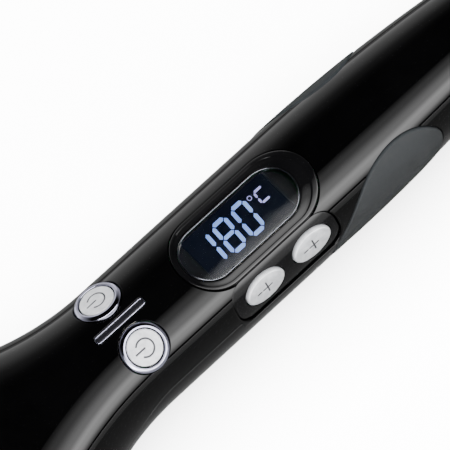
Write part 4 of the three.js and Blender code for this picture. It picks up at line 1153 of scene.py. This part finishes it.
# ---------- studio: pale floor, soft lights right and left, a fill above, a dark zenith ----------
def floor():
    """A wide pale sheet just under the object, rising with the square of the distance far from it."""
    line = np.linspace(-2.5, 2.5, 41)
    gx, gy = np.meshgrid(line, line, indexing="ij")
    far = np.clip((np.hypot(gx, gy) - 1.6) / 1.2, 0, 1)
    points = np.stack([gx, gy, 0.35 * far**2 - 0.0002], -1).reshape(-1, 3)
    mesh = bpy.data.meshes.new("floor")
    mesh.from_pydata(points.tolist(), [], grid_faces(41, 41, False)[:, ::-1].tolist())
    mesh.shade_smooth()
    sheet = bpy.data.objects.new("floor", mesh)
    bpy.context.scene.collection.objects.link(sheet)
    pale = speckled("pale_floor", (0.90, 0.90, 0.90), (0.93, 0.93, 0.93), (0.7, 0.85), 3.0)
    sheet.data.materials.append(pale)
    sheet.visible_glossy = False


def softbox(name, angle, distance, length, width, power, falls=()):
    """A soft light at an angle from the zenith towards -y, facing the handle.

    falls gives [share of the width from its lower edge, share of the full brightness] for a light that
    is brighter in one part than in another."""
    data = bpy.data.lights.new(name, "AREA")
    data.shape = "RECTANGLE"
    data.size = length
    data.size_y = width
    data.energy = power
    light = bpy.data.objects.new(name, data)
    bpy.context.scene.collection.objects.link(light)
    turn = math.radians(angle)
    way = Vector((0, -math.sin(turn), math.cos(turn)))
    light.location = Vector((0, 0, axis_z)) + way * distance
    light.rotation_euler = (Vector((0, 0, 1)).rotation_difference(way)).to_euler()
    light.visible_camera = False
    if falls:
        data.use_nodes = True
        nodes, links = data.node_tree.nodes, data.node_tree.links
        place = nodes.new("ShaderNodeNewGeometry")
        split = nodes.new("ShaderNodeSeparateXYZ")
        ramp = nodes.new("ShaderNodeValToRGB")
        ramp.color_ramp.interpolation = "EASE"
        ramped(ramp, [(share, (bright,) * 3) for share, bright in falls])
        links.new(place.outputs["Parametric"], split.inputs["Vector"])
        links.new(split.outputs["Y"], ramp.inputs["Fac"])
        links.new(ramp.outputs["Color"], nodes["Emission"].inputs["Color"])
    return light


floor()
softbox("softbox_right", 54.5, 1.1, 2.4, 1.57, 135.0,
        falls=((0.0, 0.06), (0.18, 0.12), (0.36, 0.85), (0.42, 1.0), (0.55, 0.5), (0.8, 0.14),
               (1.0, 0.03)))
softbox("softbox_left", -78, 1.2, 2.4, 1.56, 13.0,
        falls=((0.0, 0.02), (0.3, 0.12), (0.6, 0.6), (1.0, 1.0)))
fill = softbox("ceiling_fill", 0, 1.6, 2.6, 2.6, 700.0)
fill.visible_glossy = False
fill.visible_transmission = False

world = bpy.data.worlds.new("room")
bpy.context.scene.world = world
world.use_nodes = True
nodes, links = world.node_tree.nodes, world.node_tree.links
place = nodes.new("ShaderNodeTexCoord")
split = nodes.new("ShaderNodeSeparateXYZ")
ramp = nodes.new("ShaderNodeValToRGB")
ramped(ramp, [(0.0, (0.45,) * 3), (0.55, (0.0012,) * 3)])
links.new(place.outputs["Generated"], split.inputs["Vector"])
links.new(split.outputs["Z"], ramp.inputs["Fac"])
links.new(ramp.outputs["Color"], nodes["Background"].inputs["Color"])
nodes["Background"].inputs["Strength"].default_value = 0.9

# ---------- camera: from above, a little to the right and to the head's side ----------
SPAN = 130.8
TARGET = lifted(DISPLAY_X, DISPLAY_ANGLE, np.array([0.0, 0.0]), 0.2)
AIM_LEFT, AIM_DOWN = 3.953, 0.756
HEADING = 42.3
way = Vector((-0.215, -0.33, 0.92)).normalized()
lens = bpy.data.cameras.new("camera")
lens.lens = 300
lens.sensor_width = 36
camera = bpy.data.objects.new("camera", lens)
bpy.context.scene.collection.objects.link(camera)
axis = Vector((1, 0, 0))
flat = (axis - way * axis.dot(way)).normalized()
across = way.cross(flat)
spin = math.radians(HEADING)
right = flat * math.cos(spin) - across * math.sin(spin)
up = flat * math.sin(spin) + across * math.cos(spin)
distance = SPAN * MM * lens.lens / lens.sensor_width
centre = Vector(to_row(TARGET)) - right * (AIM_LEFT * MM) - up * (AIM_DOWN * MM)
turned_way = Matrix((right, up, way)).transposed()
camera.matrix_world = Matrix.Translation(centre + way * distance) @ turned_way.to_4x4()
bpy.context.scene.camera = camera

bpy.context.view_layer.update()
